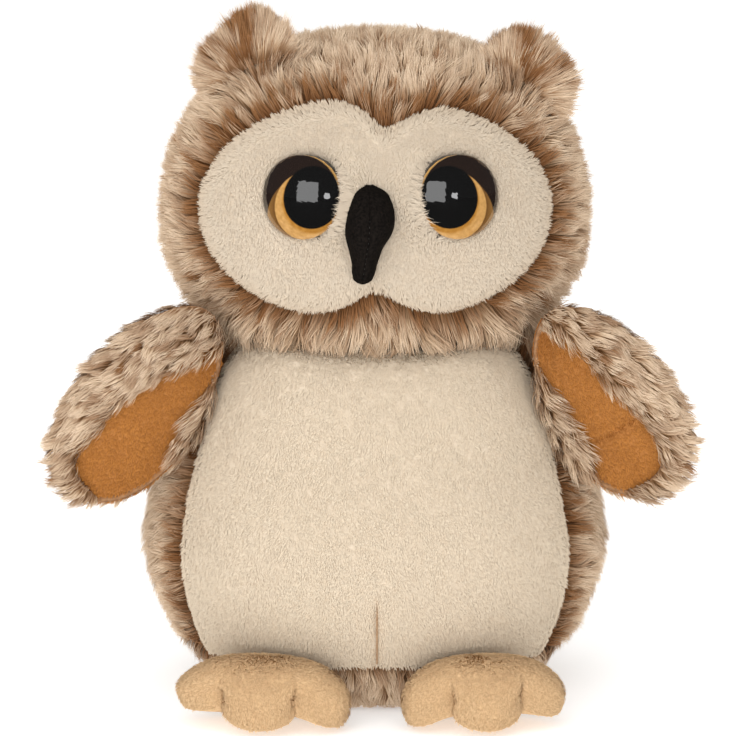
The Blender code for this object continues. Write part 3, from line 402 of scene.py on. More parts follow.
def blended(tree, mask, under, over):
    """A mix of two colours, each a value or another node's output."""
    colours = {"A": under, "B": over}
    for name, value in colours.items():
        if isinstance(value, tuple):
            colours[name] = (*value, 1)
    node = add_node(tree, "Mix", {"Factor": mask, **colours}, data_type="RGBA")
    return node.outputs["Result"]


def pile_material(name, light, dark):
    """Colour from root to tip along the blade, between a light and a dark tint."""
    material, tree, shader = new_material(name, PILE_ROUGHNESS, gloss=PILE_GLOSS)
    place = add_node(tree, "UVMap", uv_map="OFBake").outputs["UV"]
    strip = add_node(tree, "SeparateXYZ", {"Vector": place}).outputs
    colour = blended(tree, strip["X"], ramp(tree, light, strip["Y"]), ramp(tree, dark, strip["Y"]))
    tree.links.new(colour, shader.inputs["Base Color"])
    return material


def woven_material(name, low, high, scale, roughness=0.9, bump=0.25, sheen=0.1, gloss=CLOTH_GLOSS):
    """Cloth under the pile: mottled by fine noise."""
    material, tree, shader = new_material(name, roughness, sheen, gloss)
    place = add_node(tree, "TexCoord").outputs["Object"]
    noise = add_node(tree, "TexNoise", {"Vector": place, "Scale": scale, "Detail": WEAVE_DETAIL})
    weave = noise.outputs["Fac"]
    colour = ramp(tree, tuple(zip(WEAVE_STOPS, (low, high))), weave)
    raised = {"Strength": bump, "Distance": BUMP_DISTANCE, "Height": weave}
    tree.links.new(colour, shader.inputs["Base Color"])
    tree.links.new(add_node(tree, "Bump", raised).outputs["Normal"], shader.inputs["Normal"])
    return material


def math_node(tree, operation, *values):
    return add_node(tree, "Math", enumerate(values), operation=operation).outputs[0]


def within(tree, across, up, centre, radius, soft):
    """1 inside a circle on the iris and 0 outside it, and the distance from its centre."""
    x = math_node(tree, "SUBTRACT", across, centre[0])
    y = math_node(tree, "SUBTRACT", up, centre[1])
    squares = [math_node(tree, "MULTIPLY", value, value) for value in (x, y)]
    out = math_node(tree, "SQRT", math_node(tree, "ADD", *squares))
    limits = {"Value": out, "From Min": radius - soft, "From Max": radius + soft,
              "To Min": 1, "To Max": 0}
    node = add_node(tree, "MapRange", limits, interpolation_type="SMOOTHSTEP")
    return node.outputs["Result"], out


# Painted rings of an eye: centre towards the beak and up, radius and softness in metres
LID_RING = ((0.0022, -0.0054), 0.0130, 0.0002)
GOLD_RING = ((0.0008, -0.0017), 0.0094, 0.0002)
PUPIL_RING = ((0.0021, 0.0008), 0.0082, 0.0002)
GLOW_RING = ((0.0024, 0.0001), 0.0089, 0.0006)
PAINT_TIP = math.radians(7)
LID_COLOUR, PUPIL_COLOUR = (0.015, 0.009, 0.007), (0.004, 0.004, 0.004)
AMBER = ((0.0, (0.10, 0.045, 0.012)), (0.3, (0.17, 0.08, 0.022)), (1.0, (0.27, 0.14, 0.04)))
# Turns the distance from the gold ring's centre into a place on the amber ramp
AMBER_SCALE, AMBER_START = 400.0, -3.7
BRIGHT_GOLD = ((0.3, (0.42, 0.225, 0.07)), (0.7, (0.55, 0.31, 0.105)))
INNER_GOLD = ((0.3, (0.30, 0.13, 0.02)), (0.7, (0.38, 0.18, 0.035)))
PAINT_GRAIN = 900
DOME_ROUGHNESS, DOME_GLOSS, DOME_IOR = 0.04, 0.5, 1.8


def eye_material(side, place):
    """A glossy dome painted as a clear one over an off-centre pupil, a gold crescent, an amber rim
    and a dark lid.
    """
    material, tree, shader = new_material(f"painted_eye_{side}", DOME_ROUGHNESS, gloss=DOME_GLOSS)
    sign = SIDES[side]
    world = add_node(tree, "TexCoord").outputs["Object"]
    own = add_node(tree, "Mapping", {"Vector": world, "Location": place.to_translation(),
                                     "Rotation": place.to_euler("XYZ")}, vector_type="TEXTURE")
    local = add_node(tree, "SeparateXYZ", {"Vector": own.outputs["Vector"]}).outputs
    across = math_node(tree, "MULTIPLY_ADD", local["Z"], sign * math.tan(EYE_TURN), local["X"])
    across = math_node(tree, "MULTIPLY", across, -sign)
    up = math_node(tree, "MULTIPLY_ADD", local["Z"], math.tan(PAINT_TIP), local["Y"])
    lid, _ = within(tree, across, up, *LID_RING)
    gold, out = within(tree, across, up, *GOLD_RING)
    pupil, _ = within(tree, across, up, *PUPIL_RING)
    glow, _ = within(tree, across, up, *GLOW_RING)
    grain = add_node(tree, "TexNoise", {"Vector": world, "Scale": PAINT_GRAIN}).outputs["Fac"]
    amber = ramp(tree, AMBER, math_node(tree, "MULTIPLY_ADD", out, AMBER_SCALE, AMBER_START))
    crescent = blended(tree, glow, ramp(tree, BRIGHT_GOLD, grain), ramp(tree, INNER_GOLD, grain))
    colour = blended(tree, lid, LID_COLOUR, amber)
    colour = blended(tree, gold, colour, crescent)
    colour = blended(tree, pupil, colour, PUPIL_COLOUR)
    tree.links.new(colour, shader.inputs["Base Color"])
    shader.inputs["IOR"].default_value = DOME_IOR
    return material


# Tints from a blade's root to its tip
LIGHT_FUR = (
    (0.00, (0.27, 0.135, 0.060)),
    (0.35, (0.43, 0.262, 0.145)),
    (0.62, (0.65, 0.492, 0.340)),
    (1.00, (0.79, 0.635, 0.475)),
)
DARK_FUR = (
    (0.00, (0.10, 0.040, 0.014)),
    (0.45, (0.17, 0.070, 0.025)),
    (0.75, (0.25, 0.112, 0.042)),
    (1.00, (0.34, 0.168, 0.070)),
)
LIGHT_PLUSH = ((0.0, (0.63, 0.53, 0.40)), (0.5, (0.67, 0.57, 0.44)), (1.0, (0.69, 0.59, 0.46)))
# Painted shade: the face's plush is the belly's plush made darker
LIGHT_FACE_SHADED = ((0.0, (0.57, 0.48, 0.37)), (0.5, (0.61, 0.52, 0.41)), (1.0, (0.63, 0.54, 0.43)))
DARK_PLUSH = ((0.0, (0.50, 0.34, 0.21)), (0.5, (0.60, 0.44, 0.29)), (1.0, (0.66, 0.51, 0.36)))
LIGHT_CARAMEL = ((0.0, (0.34, 0.13, 0.028)), (1.0, (0.62, 0.265, 0.067)))
DARK_CARAMEL = ((0.0, (0.16, 0.050, 0.011)), (1.0, (0.36, 0.125, 0.026)))
LIGHT_SAND = ((0.0, (0.50, 0.32, 0.165)), (1.0, (0.79, 0.565, 0.335)))
DARK_SAND = ((0.0, (0.38, 0.225, 0.11)), (1.0, (0.66, 0.43, 0.23)))

FUR_PILE = pile_material("frosted_fur_pile", LIGHT_FUR, DARK_FUR)
PLUSH_PILE = pile_material("cream_plush_pile", LIGHT_PLUSH, DARK_PLUSH)
# The face and the plush round the eyes take the darker copy of the plush, as painted shade
SHADED_FACE_PILE = pile_material("shaded_face_plush_pile", LIGHT_FACE_SHADED, DARK_PLUSH)
CARAMEL_PILE = pile_material("caramel_nap_pile", LIGHT_CARAMEL, DARK_CARAMEL)
SAND_PILE = pile_material("sand_nap_pile", LIGHT_SAND, DARK_SAND)
FUR_CLOTH = woven_material("fur_backing", (0.20, 0.095, 0.040), (0.34, 0.185, 0.090), 700)
PLUSH_CLOTH = woven_material("plush_backing", (0.61, 0.51, 0.39), (0.66, 0.56, 0.44), 900)
CARAMEL_CLOTH = woven_material("caramel_backing", (0.32, 0.125, 0.03), (0.46, 0.19, 0.05), 1200)
SAND_CLOTH = woven_material("sand_backing", (0.52, 0.34, 0.18), (0.66, 0.45, 0.25), 1200)
FELT = woven_material("black_felt_fibres", (0.004, 0.0032, 0.0028), (0.011, 0.0085, 0.007), 1500,
                      roughness=1.0, bump=0.5, sheen=0.0, gloss=0.06)
THREAD = woven_material("black_thread", (0.010, 0.009, 0.009), (0.030, 0.027, 0.025), 3000, 0.6)
SEAM_THREAD = woven_material("brown_seam_thread", (0.30, 0.17, 0.09), (0.44, 0.28, 0.16), 2500,
                             0.8)

# Coats: blades per square metre, tuft size in blades, lean and spread shares, widths in metres
MILLION = 1e6
LONG_COAT = {"density": 4.8 * MILLION, "tuft": 22, "lean": 1.2, "swirl": 0.24, "uneven": 0.12,
             "pull": 0.42, "frizz": 0.0003, "width": 0.00027, "steps": 2, "mottle": 0.27,
             "soften": 0.6, "twist": 0.4}
WING_COAT = {**LONG_COAT, "density": 6.0 * MILLION, "lean": 1.55, "tuft": 24, "steps": 3,
             "pull": 0.36, "soften": 0.55}
EAR_COAT = {**LONG_COAT, "density": 9.0 * MILLION, "lean": 1.0, "tuft": 14, "width": 0.00024,
            "steps": 3, "swirl": 0.10, "pull": 0.25, "mottle": 0.2, "uneven": 0.1}
PLUSH_COAT = {"density": 6.0 * MILLION, "tuft": 6, "lean": 1.5, "swirl": 0.25, "uneven": 0.06,
              "pull": 0.06, "frizz": 0.00005, "width": 0.00028, "steps": 2, "mottle": 0.04,
              "soften": 1.0, "twist": 0.1}
NAP_COAT = {"density": 8.0 * MILLION, "tuft": 6, "lean": 1.3, "swirl": 0.3, "uneven": 0.12,
            "pull": 0.12, "frizz": 0.00008, "width": 0.00024, "steps": 2, "mottle": 0.08,
            "soften": 0.88, "twist": 0.2}
FACE_COAT = {**PLUSH_COAT, "density": 8.5 * MILLION}
FRINGE_COAT = {**PLUSH_COAT, "density": 14 * MILLION, "lean": 0.9, "uneven": 0.2,
               "frizz": 0.0002, "swirl": 0.35, "steps": 3}


# Forms

# Shoulders: the rows over which they rise and fall, and their fading towards back and middle
SHOULDER_RISE, SHOULDER_SWELL = 0.0085, 0.0030
SHOULDER_FIRST_ROW, SHOULDER_RISE_ROWS = 7, 3.5
SHOULDER_LAST_ROW, SHOULDER_FALL_ROWS = 11, 2
SHOULDER_BACK, SHOULDER_FADE = 0.01, 0.02
SHOULDER_SHARES, SHOULDER_MIDDLE = (0.78, 0.22), 0.008


def superellipse(turn, squareness):
    across, ahead = np.sin(turn), np.cos(turn)
    power = 2.0 / squareness
    return np.sign(across) * abs(across) ** power, -np.sign(ahead) * abs(ahead) ** power


def body_table(rows):
    """Height, half-width, front, back, squareness and pile share at fractional row numbers."""
    table = BODY_ROWS * (BODY_HEIGHT, BODY_HALF_WIDTH, BODY_FRONT, 1)
    table = np.column_stack((table[:, :3], BODY_ROWS[:, 2] * BODY_BACK,
                             np.full(len(table), SQUARENESS), BODY_ROWS[:, 3]))
    for angle in NECK_TUCK_ANGLES:
        radius = NECK_RADIUS * math.cos(angle)
        height = NECK_HEIGHT + NECK_RADIUS * math.sin(angle)
        table = np.vstack((table, (height, radius, radius, radius, 2.0, 0.0)))
    places = np.arange(len(table))
    return np.stack([curve_through(places, column, rows) for column in table.T], axis=-1)


def belly_seam_turn(rows):
    shares = np.array(BELLY_SEAM_SHARES)
    turns = np.arcsin(shares ** (SQUARENESS / 2))
    return np.interp(rows, np.arange(len(shares)), turns)


def body_points(rows, turns):
    """Places on the body with its raised front shoulders, and the pile's share there."""
    table = body_table(rows)[:, None, :]
    x, y = superellipse(turns, table[..., 4])
    depth = np.where(y < 0, table[..., 2], table[..., 3])
    x, y = x * table[..., 1], y * depth
    places = np.asarray(rows, float).reshape(-1, 1)
    rise = ease((places - SHOULDER_FIRST_ROW) / SHOULDER_RISE_ROWS)
    rise = rise * (1 - ease((places - SHOULDER_LAST_ROW) / SHOULDER_FALL_ROWS))
    rise = rise * ease((SHOULDER_BACK - y) / SHOULDER_FADE)
    least, more = SHOULDER_SHARES
    rise = rise * (least + more * ease((abs(x) - SHOULDER_MIDDLE) / SHOULDER_FADE))
    y = y - SHOULDER_SWELL * rise * ease(-y / SHOULDER_FADE)
    return np.stack((x, y, table[..., 0] + SHOULDER_RISE * rise), axis=-1), table[..., 5]


def head_reaches(direction):
    return np.stack(
        (
            np.full(direction.shape[:-1], HEAD_HALF_WIDTH),
            np.where(direction[..., 1] < 0, HEAD_FRONT, HEAD_BACK),
            np.where(direction[..., 2] > 0, HEAD_UP, HEAD_DOWN),
        ),
        axis=-1,
    )


HEAD_CENTRE = np.array((0, 0, HEAD_HEIGHT))


def head_points(direction):
    total = np.sum((abs(direction) / head_reaches(direction)) ** SQUARENESS, axis=-1)
    return HEAD_CENTRE + direction * total[..., None] ** (-1 / SQUARENESS)


def head_normals(points):
    local = points - HEAD_CENTRE
    reaches = head_reaches(local)
    return unit(np.sign(local) * (abs(local) / reaches) ** (SQUARENESS - 1) / reaches)


def face_front(x, z):
    up = z - HEAD_HEIGHT
    reach = np.where(up > 0, HEAD_UP, HEAD_DOWN)
    left = 1 - (abs(x) / HEAD_HALF_WIDTH) ** SQUARENESS - (abs(up) / reach) ** SQUARENESS
    return np.stack((x, -HEAD_FRONT * np.maximum(left, 0.0) ** (1 / SQUARENESS), z), axis=-1)


def face_edge(turn):
    edge = 1 / np.hypot(np.sin(turn) / FACE_HALF_WIDTH, np.cos(turn) / FACE_HALF_HEIGHT)
    for middle, width, depth in NOTCHES:
        off = (turn - middle + math.pi) % (2 * math.pi) - math.pi
        edge = edge - depth * np.exp(-((off / width) ** 2))
    return edge


def face_points(turn, share):
    out = face_edge(turn) * share
    return face_front(out * np.sin(turn), FACE_HEIGHT + out * np.cos(turn))


def eye_place(side):
    seat = face_front(np.array(EYE_X[side]), np.array(EYE_HEIGHT))
    turn = Matrix.Rotation(SIDES[side] * EYE_TURN, 4, "Z")
    tip = Matrix.Rotation(math.pi / 2 - EYE_TIP, 4, "X")
    return Matrix.Translation(Vector(seat)) @ turn @ tip


def in_frame(place, points):
    """World points as places in a frame."""
    inverse = np.array(place.inverted())
    return points @ inverse[:3, :3].T + inverse[:3, 3]


def from_frame(place, points):
    matrix = np.array(place)
    return points @ matrix[:3, :3].T + matrix[:3, 3]


def near_seam(distance, reach=SEAM_REACH):
    """1 at a seam, falling to 0 away from it."""
    return np.exp(-((distance / reach) ** 2))


def waves_on(points, seed, size):
    """Slow random variation on a grid of points."""
    found = waves(points.reshape(-1, 3), np.random.default_rng(seed), size)
    return found.reshape(points.shape[:-1])


def patches(points, seed, size=PATCH_SIZE):
    """Brown patches where the frosted fur parts."""
    return PATCH_TONE * np.maximum(waves_on(points, seed, size), 0)


def turned(comb, target, share):
    """A comb turned by a share towards a target."""
    share = share[..., None]
    return comb * (1 - share) + np.asarray(target) * share


def sunk(skin, depth):
    """A sheet moved in by the depth of its pile."""
    return {**skin, "points": skin["points"] - skin["normals"] * depth[..., None]}


def outside_neck(margin):
    centre = np.array((0, 0, NECK_HEIGHT))
    return lambda points: np.linalg.norm(points - centre, axis=-1) > NECK_RADIUS + margin


# Head covers

COVER_ROWS, COVER_COLUMNS, COVER_ROW_POWER = 64, 90, 1.15
COVER_TONE, RIM_TONE, RIM_REACH = 0.12, 0.9, 0.0050
NECK_CLOTH_GAP, NECK_FUR_GAP = 0.0006, 0.002
# The fur fans out from the face, droops over the sides and hangs down behind
SIDE_DROOP, SIDE_DROOP_REACH = (0, 0, -0.25), 0.05
BEHIND_COMB, BEHIND_START, BEHIND_FADE = (0, 0.1, -1), -0.002, 0.034
# Longer curly fur under the chin, lightened there as painted light against the shade under the head
CHIN_COMB, CHIN_TOP, CHIN_FADE, CHIN_BACK = (0, -0.35, -1), 0.112, 0.010, 0.012
CHIN_GROWTH, CHIN_LEAN_LOSS, CHIN_RIM_PAINTED_LIGHT = 1.15, 0.3, 0.3
CHIN_CURL, CHIN_CURL_SIZE = 0.55, 0.007
# Longer fur that fans out in front of each ear's root, with a brown parting
EAR_FRINGE_AHEAD, EAR_FRINGE_REACH, EAR_FRINGE_BOTTOM = 0.0055, 0.0035, -0.02
EAR_FRINGE_FORWARD, EAR_FRINGE_GROWTH, EAR_FRINGE_LEAN_LOSS = 0.2, 0.75, 0.5
EAR_PARTING_TONE, EAR_PARTING_SHIFT, EAR_PARTING_WIDTH = 0.6, 0.25, 0.35


def cover_points(first, last):
    """Half of the head's outside, from the face's edge to the middle of its back."""
    turn = np.linspace(first, last, COVER_COLUMNS)[None, :]
    share = np.linspace(0, 1, COVER_ROWS)[:, None, None] ** COVER_ROW_POWER
    start = unit(face_points(turn, 1.0) - HEAD_CENTRE)
    pole = np.array((0, 1, 0))
    whole = np.arccos(np.clip(start @ pole, -1, 1))[..., None]
    direction = start * np.sin((1 - share) * whole) + pole * np.sin(share * whole)
    return head_points(unit(direction / np.sin(whole)))


def make_head_cover(name, first, last, seed):
    outer = cover_points(first, last)
    away = np.linalg.norm(np.gradient(outer, axis=0), axis=-1).cumsum(axis=0)
    away = away - away[:1]
    depth = FUR_PILE_HEIGHT + FUR_SEAM_SINK * near_seam(away)
    comb = unit(np.gradient(outer, axis=0))
    comb = comb + np.array(SIDE_DROOP) * ease(away / SIDE_DROOP_REACH)[..., None]
    comb = turned(comb, BEHIND_COMB, ease((outer[..., 1] - BEHIND_START) / BEHIND_FADE))
    chin = ease((CHIN_TOP - outer[..., 2]) / CHIN_FADE)
    chin = chin * ease((CHIN_BACK - outer[..., 1]) / CHIN_BACK)
    comb = turned(comb, CHIN_COMB, chin)
    curl = CHIN_CURL * waves_on(outer, 9, CHIN_CURL_SIZE) * chin
    comb = comb + curl[..., None] * np.array((1, 0, 0))
    height = depth * (1 + CHIN_GROWTH * chin)
    lean = 1 - CHIN_LEAN_LOSS * chin
    # Painted light: under the chin the fur's tone and its seam band are made lighter, against the
    # shade under the head
    tone = (COVER_TONE + patches(outer, 5)) * (1 - chin)
    tone = tone + (RIM_TONE - CHIN_RIM_PAINTED_LIGHT * chin) * near_seam(away, RIM_REACH)
    for side in SIDES:
        local = in_frame(ear_frame(side), outer)
        across = local[..., 0] / EAR_HALF_WIDTH[side]
        fringe = near_seam(local[..., 1] + EAR_FRINGE_AHEAD, EAR_FRINGE_REACH)
        fringe = np.exp(-(across**6)) * fringe * (local[..., 2] > EAR_FRINGE_BOTTOM)
        axes = np.array(ear_frame(side).to_3x3())
        fan = across[..., None] * axes[:, 0] + EAR_FRINGE_FORWARD * axes[:, 1]
        comb = turned(comb, fan, fringe)
        height = height * (1 + EAR_FRINGE_GROWTH * fringe)
        lean = lean * (1 - EAR_FRINGE_LEAN_LOSS * fringe)
        parting = near_seam(across + SIDES[side] * EAR_PARTING_SHIFT, EAR_PARTING_WIDTH)
        tone = tone + EAR_PARTING_TONE * fringe * parting
    skin = sunk({"points": outer, "normals": head_normals(outer)}, depth)
    cloth(f"head_cover_{name}_cloth", skin, FUR_CLOTH, "head",
          (f"head_cover_{name}", "head_filling"), keep=outside_neck(NECK_CLOTH_GAP))
    skin.update(comb=comb, height=height, tone=tone, lean=lean)
    grow(f"head_cover_{name}_fur", skin, LONG_COAT, seed, FUR_PILE, "head",
         keep=outside_neck(NECK_FUR_GAP))


# Face

FACE_ROWS, FACE_COLUMNS = 60, 161
FACE_FAN_REACH, TUCKED_PILE_HEIGHT = 0.006, 0.0002
PLUSH_TONE, PLUSH_RIM_TONE, PLUSH_RIM_LEAN_LOSS = 0.06, 0.25, 0.3
# The bed of an eye, its soft lip beside the beak, and the longer plush that falls over its rim
EYE_GAP, BED_FADE, INNER_TURN, INNER_POWER = 0.0002, 0.0008, 0.25, 1.5
LIP_MIDDLE, LIP_REACH, LIP_START, LIP_HEIGHT = 0.0012, 0.0026, 0.0005, 0.0004
FRINGE_LEAST_REACH, FRINGE_REACH, FRINGE_TOP_SHARE = 0.0004, 0.0024, 0.35
FRINGE_HEIGHT, FRINGE_INNER_GROWTH, FRINGE_INNER_LEAN = 0.0012, 0.0010, 0.5


def inner_share(side, local):
    """1 on an eye's side beside the beak, 0 on its outer half."""
    turn = np.arctan2(local[..., 1], local[..., 0])
    return np.maximum(-SIDES[side] * np.cos(turn - SIDES[side] * INNER_TURN), 0)


def eye_bed(points):
    """Presses a cloth down behind the eyes and raises a soft lip at their inner rims."""
    for side in SIDES:
        place = eye_place(side)
        local = in_frame(place, points)
        out = np.hypot(local[..., 0], local[..., 1])
        lip = inner_share(side, local) ** INNER_POWER
        lip = lip * near_seam(out - EYE_RADIUS - LIP_MIDDLE, LIP_REACH)
        lip = lip * ease((out - EYE_RADIUS + LIP_START) / BED_FADE)
        local[..., 2] = local[..., 2] + np.maximum(LIP_HEIGHT - local[..., 2], 0) * lip
        near = 1 - ease((out - EYE_RADIUS + EYE_GAP) / BED_FADE)
        local[..., 2] = local[..., 2] - np.maximum(local[..., 2] + EYE_BED, 0) * near
        points = from_frame(place, local)
    return points


def outside_eyes(points):
    kept = np.ones(len(points), bool)
    for side in SIDES:
        local = in_frame(eye_place(side), points)
        kept &= np.hypot(local[:, 0], local[:, 1]) > EYE_RADIUS + EYE_GAP
    return kept


def make_face():
    turn = np.linspace(0, 2 * math.pi, FACE_COLUMNS)[None, :]
    share = np.append(np.linspace(0, 1, FACE_ROWS), 1.0)[:, None]
    outer = face_points(turn, share)
    away = face_edge(turn) * (1 - share)
    seam = near_seam(away)
    depth = PLUSH_PILE_HEIGHT + PLUSH_SEAM_SINK * seam
    depth[-1] = FUR_PILE_HEIGHT
    skin = sunk({"points": outer, "normals": head_normals(outer)}, depth)
    skin["points"] = eye_bed(skin["points"])
    cloth("face_cloth", skin, PLUSH_CLOTH, "head", ("face_panel",))
    middle = face_front(np.array(0.0), np.array(EYE_HEIGHT))
    fan = unit(outer - middle + np.array((0, 0, 1e-6)))
    comb = turned(np.array((0, 0, -1)), fan, near_seam(away, FACE_FAN_REACH))
    height = PLUSH_PILE_HEIGHT * (1 + seam)
    height[-1] = TUCKED_PILE_HEIGHT
    skin.update(comb=comb, height=height, tone=PLUSH_TONE + PLUSH_RIM_TONE * seam,
                lean=1 - PLUSH_RIM_LEAN_LOSS * seam)
    grow("face_plush", skin, FACE_COAT, 21, SHADED_FACE_PILE, "head", outside_eyes)
    for side in SIDES:
        make_eye_fringe(side, skin)


def make_eye_fringe(side, face):
    """Longer plush that falls over an eye's rim, beside the beak and a little on top."""
    place = eye_place(side)

    def ring(points):
        local = in_frame(place, points)
        out = np.hypot(local[..., 0], local[..., 1])
        upper = np.maximum(local[..., 1] / out, 0) ** 3
        reach = np.maximum(inner_share(side, local), FRINGE_TOP_SHARE * upper)
        reach = FRINGE_LEAST_REACH + FRINGE_REACH * reach
        return (out > EYE_RADIUS + EYE_GAP) & (out < EYE_RADIUS + reach)

    inner = inner_share(side, in_frame(place, face["points"])) ** INNER_POWER
    skin = {**face, "comb": np.array(place.translation) - face["points"],
            "height": FRINGE_HEIGHT + FRINGE_INNER_GROWTH * inner,
            "lean": 1 + FRINGE_INNER_LEAN * inner, "tone": np.full(inner.shape, PLUSH_TONE)}
    grow(f"eye_{side}_fringe", skin, FRINGE_COAT, 25, SHADED_FACE_PILE, "head", ring)


# Body

PANEL_ROWS, BELLY_COLUMNS, RING_COLUMNS, BASE_ROWS = 70, 121, 181, 14
BODY_MIDDLE, BODY_RADIUS = np.array((0, 0, 0.05)), 0.055
BELLY_FAN, BASE_FAN = 12, 8
DART_X, DART_TOP, DART_BOTTOM, DART_FADE, DART_OVERRUN = 0.0005, 0.0400, 0.0155, 0.012, 0.006
# Painted shade: the plush is darkened along the dart's fold
DART_WIDTH, DART_DEPTH, DART_PAINTED_SHADE, DART_PILE_LOSS = 0.0010, 0.0009, 0.5, 0.3
DART_POINTS, DART_LIFT, THREAD_RADIUS, THREAD_SHARES = 40, 0.0004, 0.00022, (0.25, 0.75)
# The back's fur fans out from the side seams, stands up on the shoulders and covers the nape
SEAM_FAN_REACH, SEAM_FAN, BACK_HANG = 0.02, (1.2, 0.9), (-0.25, -0.75)
SHOULDER_X, SHOULDER_WIDTH, SHOULDER_BOTTOM, SHOULDER_CLIMB = 0.046, 0.010, 0.078, 0.006
SHOULDER_TUFT_BACK, SHOULDER_TUFT_FADE, SHOULDER_GROWTH = 0.002, 0.016, 0.0045
SHOULDER_COMB = (0, -0.2, 1)
NAPE_BOTTOM, NAPE_CLIMB, NAPE_FRONT, NAPE_PILE_HEIGHT = 0.086, 0.006, -0.01, 0.0036
BACK_PATCH_SHARE = 0.5
BASE_FLAT_ROWS, BASE_FLAT_SHARE = 12, 0.97
BASE_CLEARANCE, BASE_FUR_BOTTOM = 0.0010, 0.0012
BASE_TONE, BASE_TONE_BOTTOM, BASE_TONE_FADE = 0.6, 0.011, 0.003


def make_belly():
    rows = np.linspace(BASE_SEAM_ROW, TOP_ROW, PANEL_ROWS)
    seam = belly_seam_turn(rows)[:, None]
    turn = seam * np.linspace(-1, 1, BELLY_COLUMNS)[None, :]
    outer, pile = body_points(rows, turn)
    edge = near_seam((1 - abs(turn) / seam) * BODY_RADIUS)
    low = ease((DART_TOP - outer[..., 2]) / DART_FADE)
    groove = near_seam(outer[..., 0] - DART_X, DART_WIDTH) * low
    depth = (PLUSH_PILE_HEIGHT + PLUSH_SEAM_SINK * edge) * pile + DART_DEPTH * groove
    skin = sunk(sheet(outer, BODY_MIDDLE), depth)
    cloth("belly_cloth", skin, PLUSH_CLOTH, "body", ("belly_panel", "body_filling"))
    comb = np.stack((outer[..., 0] * BELLY_FAN, np.zeros(turn.shape), -np.ones(turn.shape)),
                    axis=-1)
    # The dart's groove is darkened as painted shade
    skin.update(comb=comb, height=PLUSH_PILE_HEIGHT * (1 + edge - DART_PILE_LOSS * groove),
                tone=PLUSH_TONE + PLUSH_RIM_TONE * edge + DART_PAINTED_SHADE * groove,
                lean=1 - PLUSH_RIM_LEAN_LOSS * edge)
    grow("belly_plush", skin, PLUSH_COAT, 31, PLUSH_PILE, "body")


def make_dart():
    """The sewn dart that closes the belly panel's lower middle."""
    heights = np.linspace(DART_TOP - DART_OVERRUN, DART_BOTTOM, DART_POINTS)
    rows = np.interp(heights, BODY_ROWS[:, 0] * BODY_HEIGHT, np.arange(len(BODY_ROWS)))
    line, _ = body_points(rows, np.zeros((DART_POINTS, 1)))
    line = line[:, 0] + np.array((DART_X, DART_LIFT, 0))
    least, more = THREAD_SHARES
    radius = THREAD_RADIUS * (least + more * ease(np.linspace(0, 3, DART_POINTS)))
    tubes([(line, radius)], "belly_dart_seam", SEAM_THREAD, "body")


def tubes(lines, name, material, body, each=8):
    """Closed tubes of a few sides along lines that run mostly up or down, as one piece.

    A line comes with the radii at its points.
    """
    around = np.linspace(0, 2 * math.pi, each + 1)[:-1]
    ring = np.stack((np.cos(around), np.sin(around), 0 * around), axis=-1)
    points, faces, first = [], [], 0
    for line, radius in lines:
        count = len(line)
        body_ring = line[:, None] + ring[None] * radius[:, None, None]
        points += [body_ring.reshape(-1, 3), line[:1], line[-1:]]
        i, k = np.meshgrid(np.arange(count - 1), np.arange(each), indexing="ij")
        after = (k + 1) % each
        a, b, c, d = i * each + k, i * each + after, (i + 1) * each + after, (i + 1) * each + k
        own = [np.stack(f, axis=-1).reshape(-1, 3) for f in ((a, b, c), (a, c, d))]
        k, start, last = np.arange(each), count * each, (count - 1) * each
        after = (k + 1) % each
        own.append(np.stack((after, k, np.full(each, start)), axis=-1))
        own.append(np.stack((last + k, last + after, np.full(each, start + 1)), axis=-1))
        own = np.concatenate(own) + first
        faces.append(own if line[-1, 2] > line[0, 2] else own[:, ::-1])
        first += start + 2
    piece = mesh_object(name, np.concatenate(points), np.concatenate(faces), material)
    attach(piece, body)


def make_back():
    rows = np.linspace(BASE_SEAM_ROW, TOP_ROW, PANEL_ROWS)
    seam = belly_seam_turn(rows)[:, None]
    turn = seam + 2 * (math.pi - seam) * np.linspace(0, 1, RING_COLUMNS)[None, :]
    outer, pile = body_points(rows, turn)
    x, y, z = (outer[..., i] for i in range(3))
    away = np.minimum(turn - seam, 2 * math.pi - seam - turn) * BODY_RADIUS
    depth = (FUR_PILE_HEIGHT + FUR_SEAM_SINK * near_seam(away)) * pile
    skin = sunk(sheet(outer, BODY_MIDDLE), depth)
    cloth("body_back_cloth", skin, FUR_CLOTH, "body",
          ("body_back_panel", "pellet_bag"))
    beside = near_seam(away, SEAM_FAN_REACH)
    hang, hang_more = BACK_HANG
    comb = np.stack((np.sign(x) * SEAM_FAN[0] * beside, SEAM_FAN[1] * beside,
                     hang + hang_more * (1 - beside)), axis=-1)
    shoulder = near_seam(abs(x) - SHOULDER_X, SHOULDER_WIDTH)
    shoulder = shoulder * ease((z - SHOULDER_BOTTOM) / SHOULDER_CLIMB)
    shoulder = shoulder * ease((SHOULDER_TUFT_BACK - y) / SHOULDER_TUFT_FADE)
    comb = turned(comb, SHOULDER_COMB, shoulder)
    nape = ease((z - NAPE_BOTTOM) / NAPE_CLIMB) * ease((y - NAPE_FRONT) / -NAPE_FRONT)
    height = np.maximum(depth, NAPE_PILE_HEIGHT * nape) + SHOULDER_GROWTH * shoulder
    tone = BACK_PATCH_SHARE * patches(outer, 6) + RIM_TONE * near_seam(away, RIM_REACH)
    skin.update(comb=comb, height=height, tone=tone)
    for name, seed, keep in (("left", 45, lambda p: p[:, 0] < 0),
                             ("right", 46, lambda p: p[:, 0] >= 0)):
        grow(f"body_back_{name}_fur", skin, LONG_COAT, seed, FUR_PILE, "body", keep)


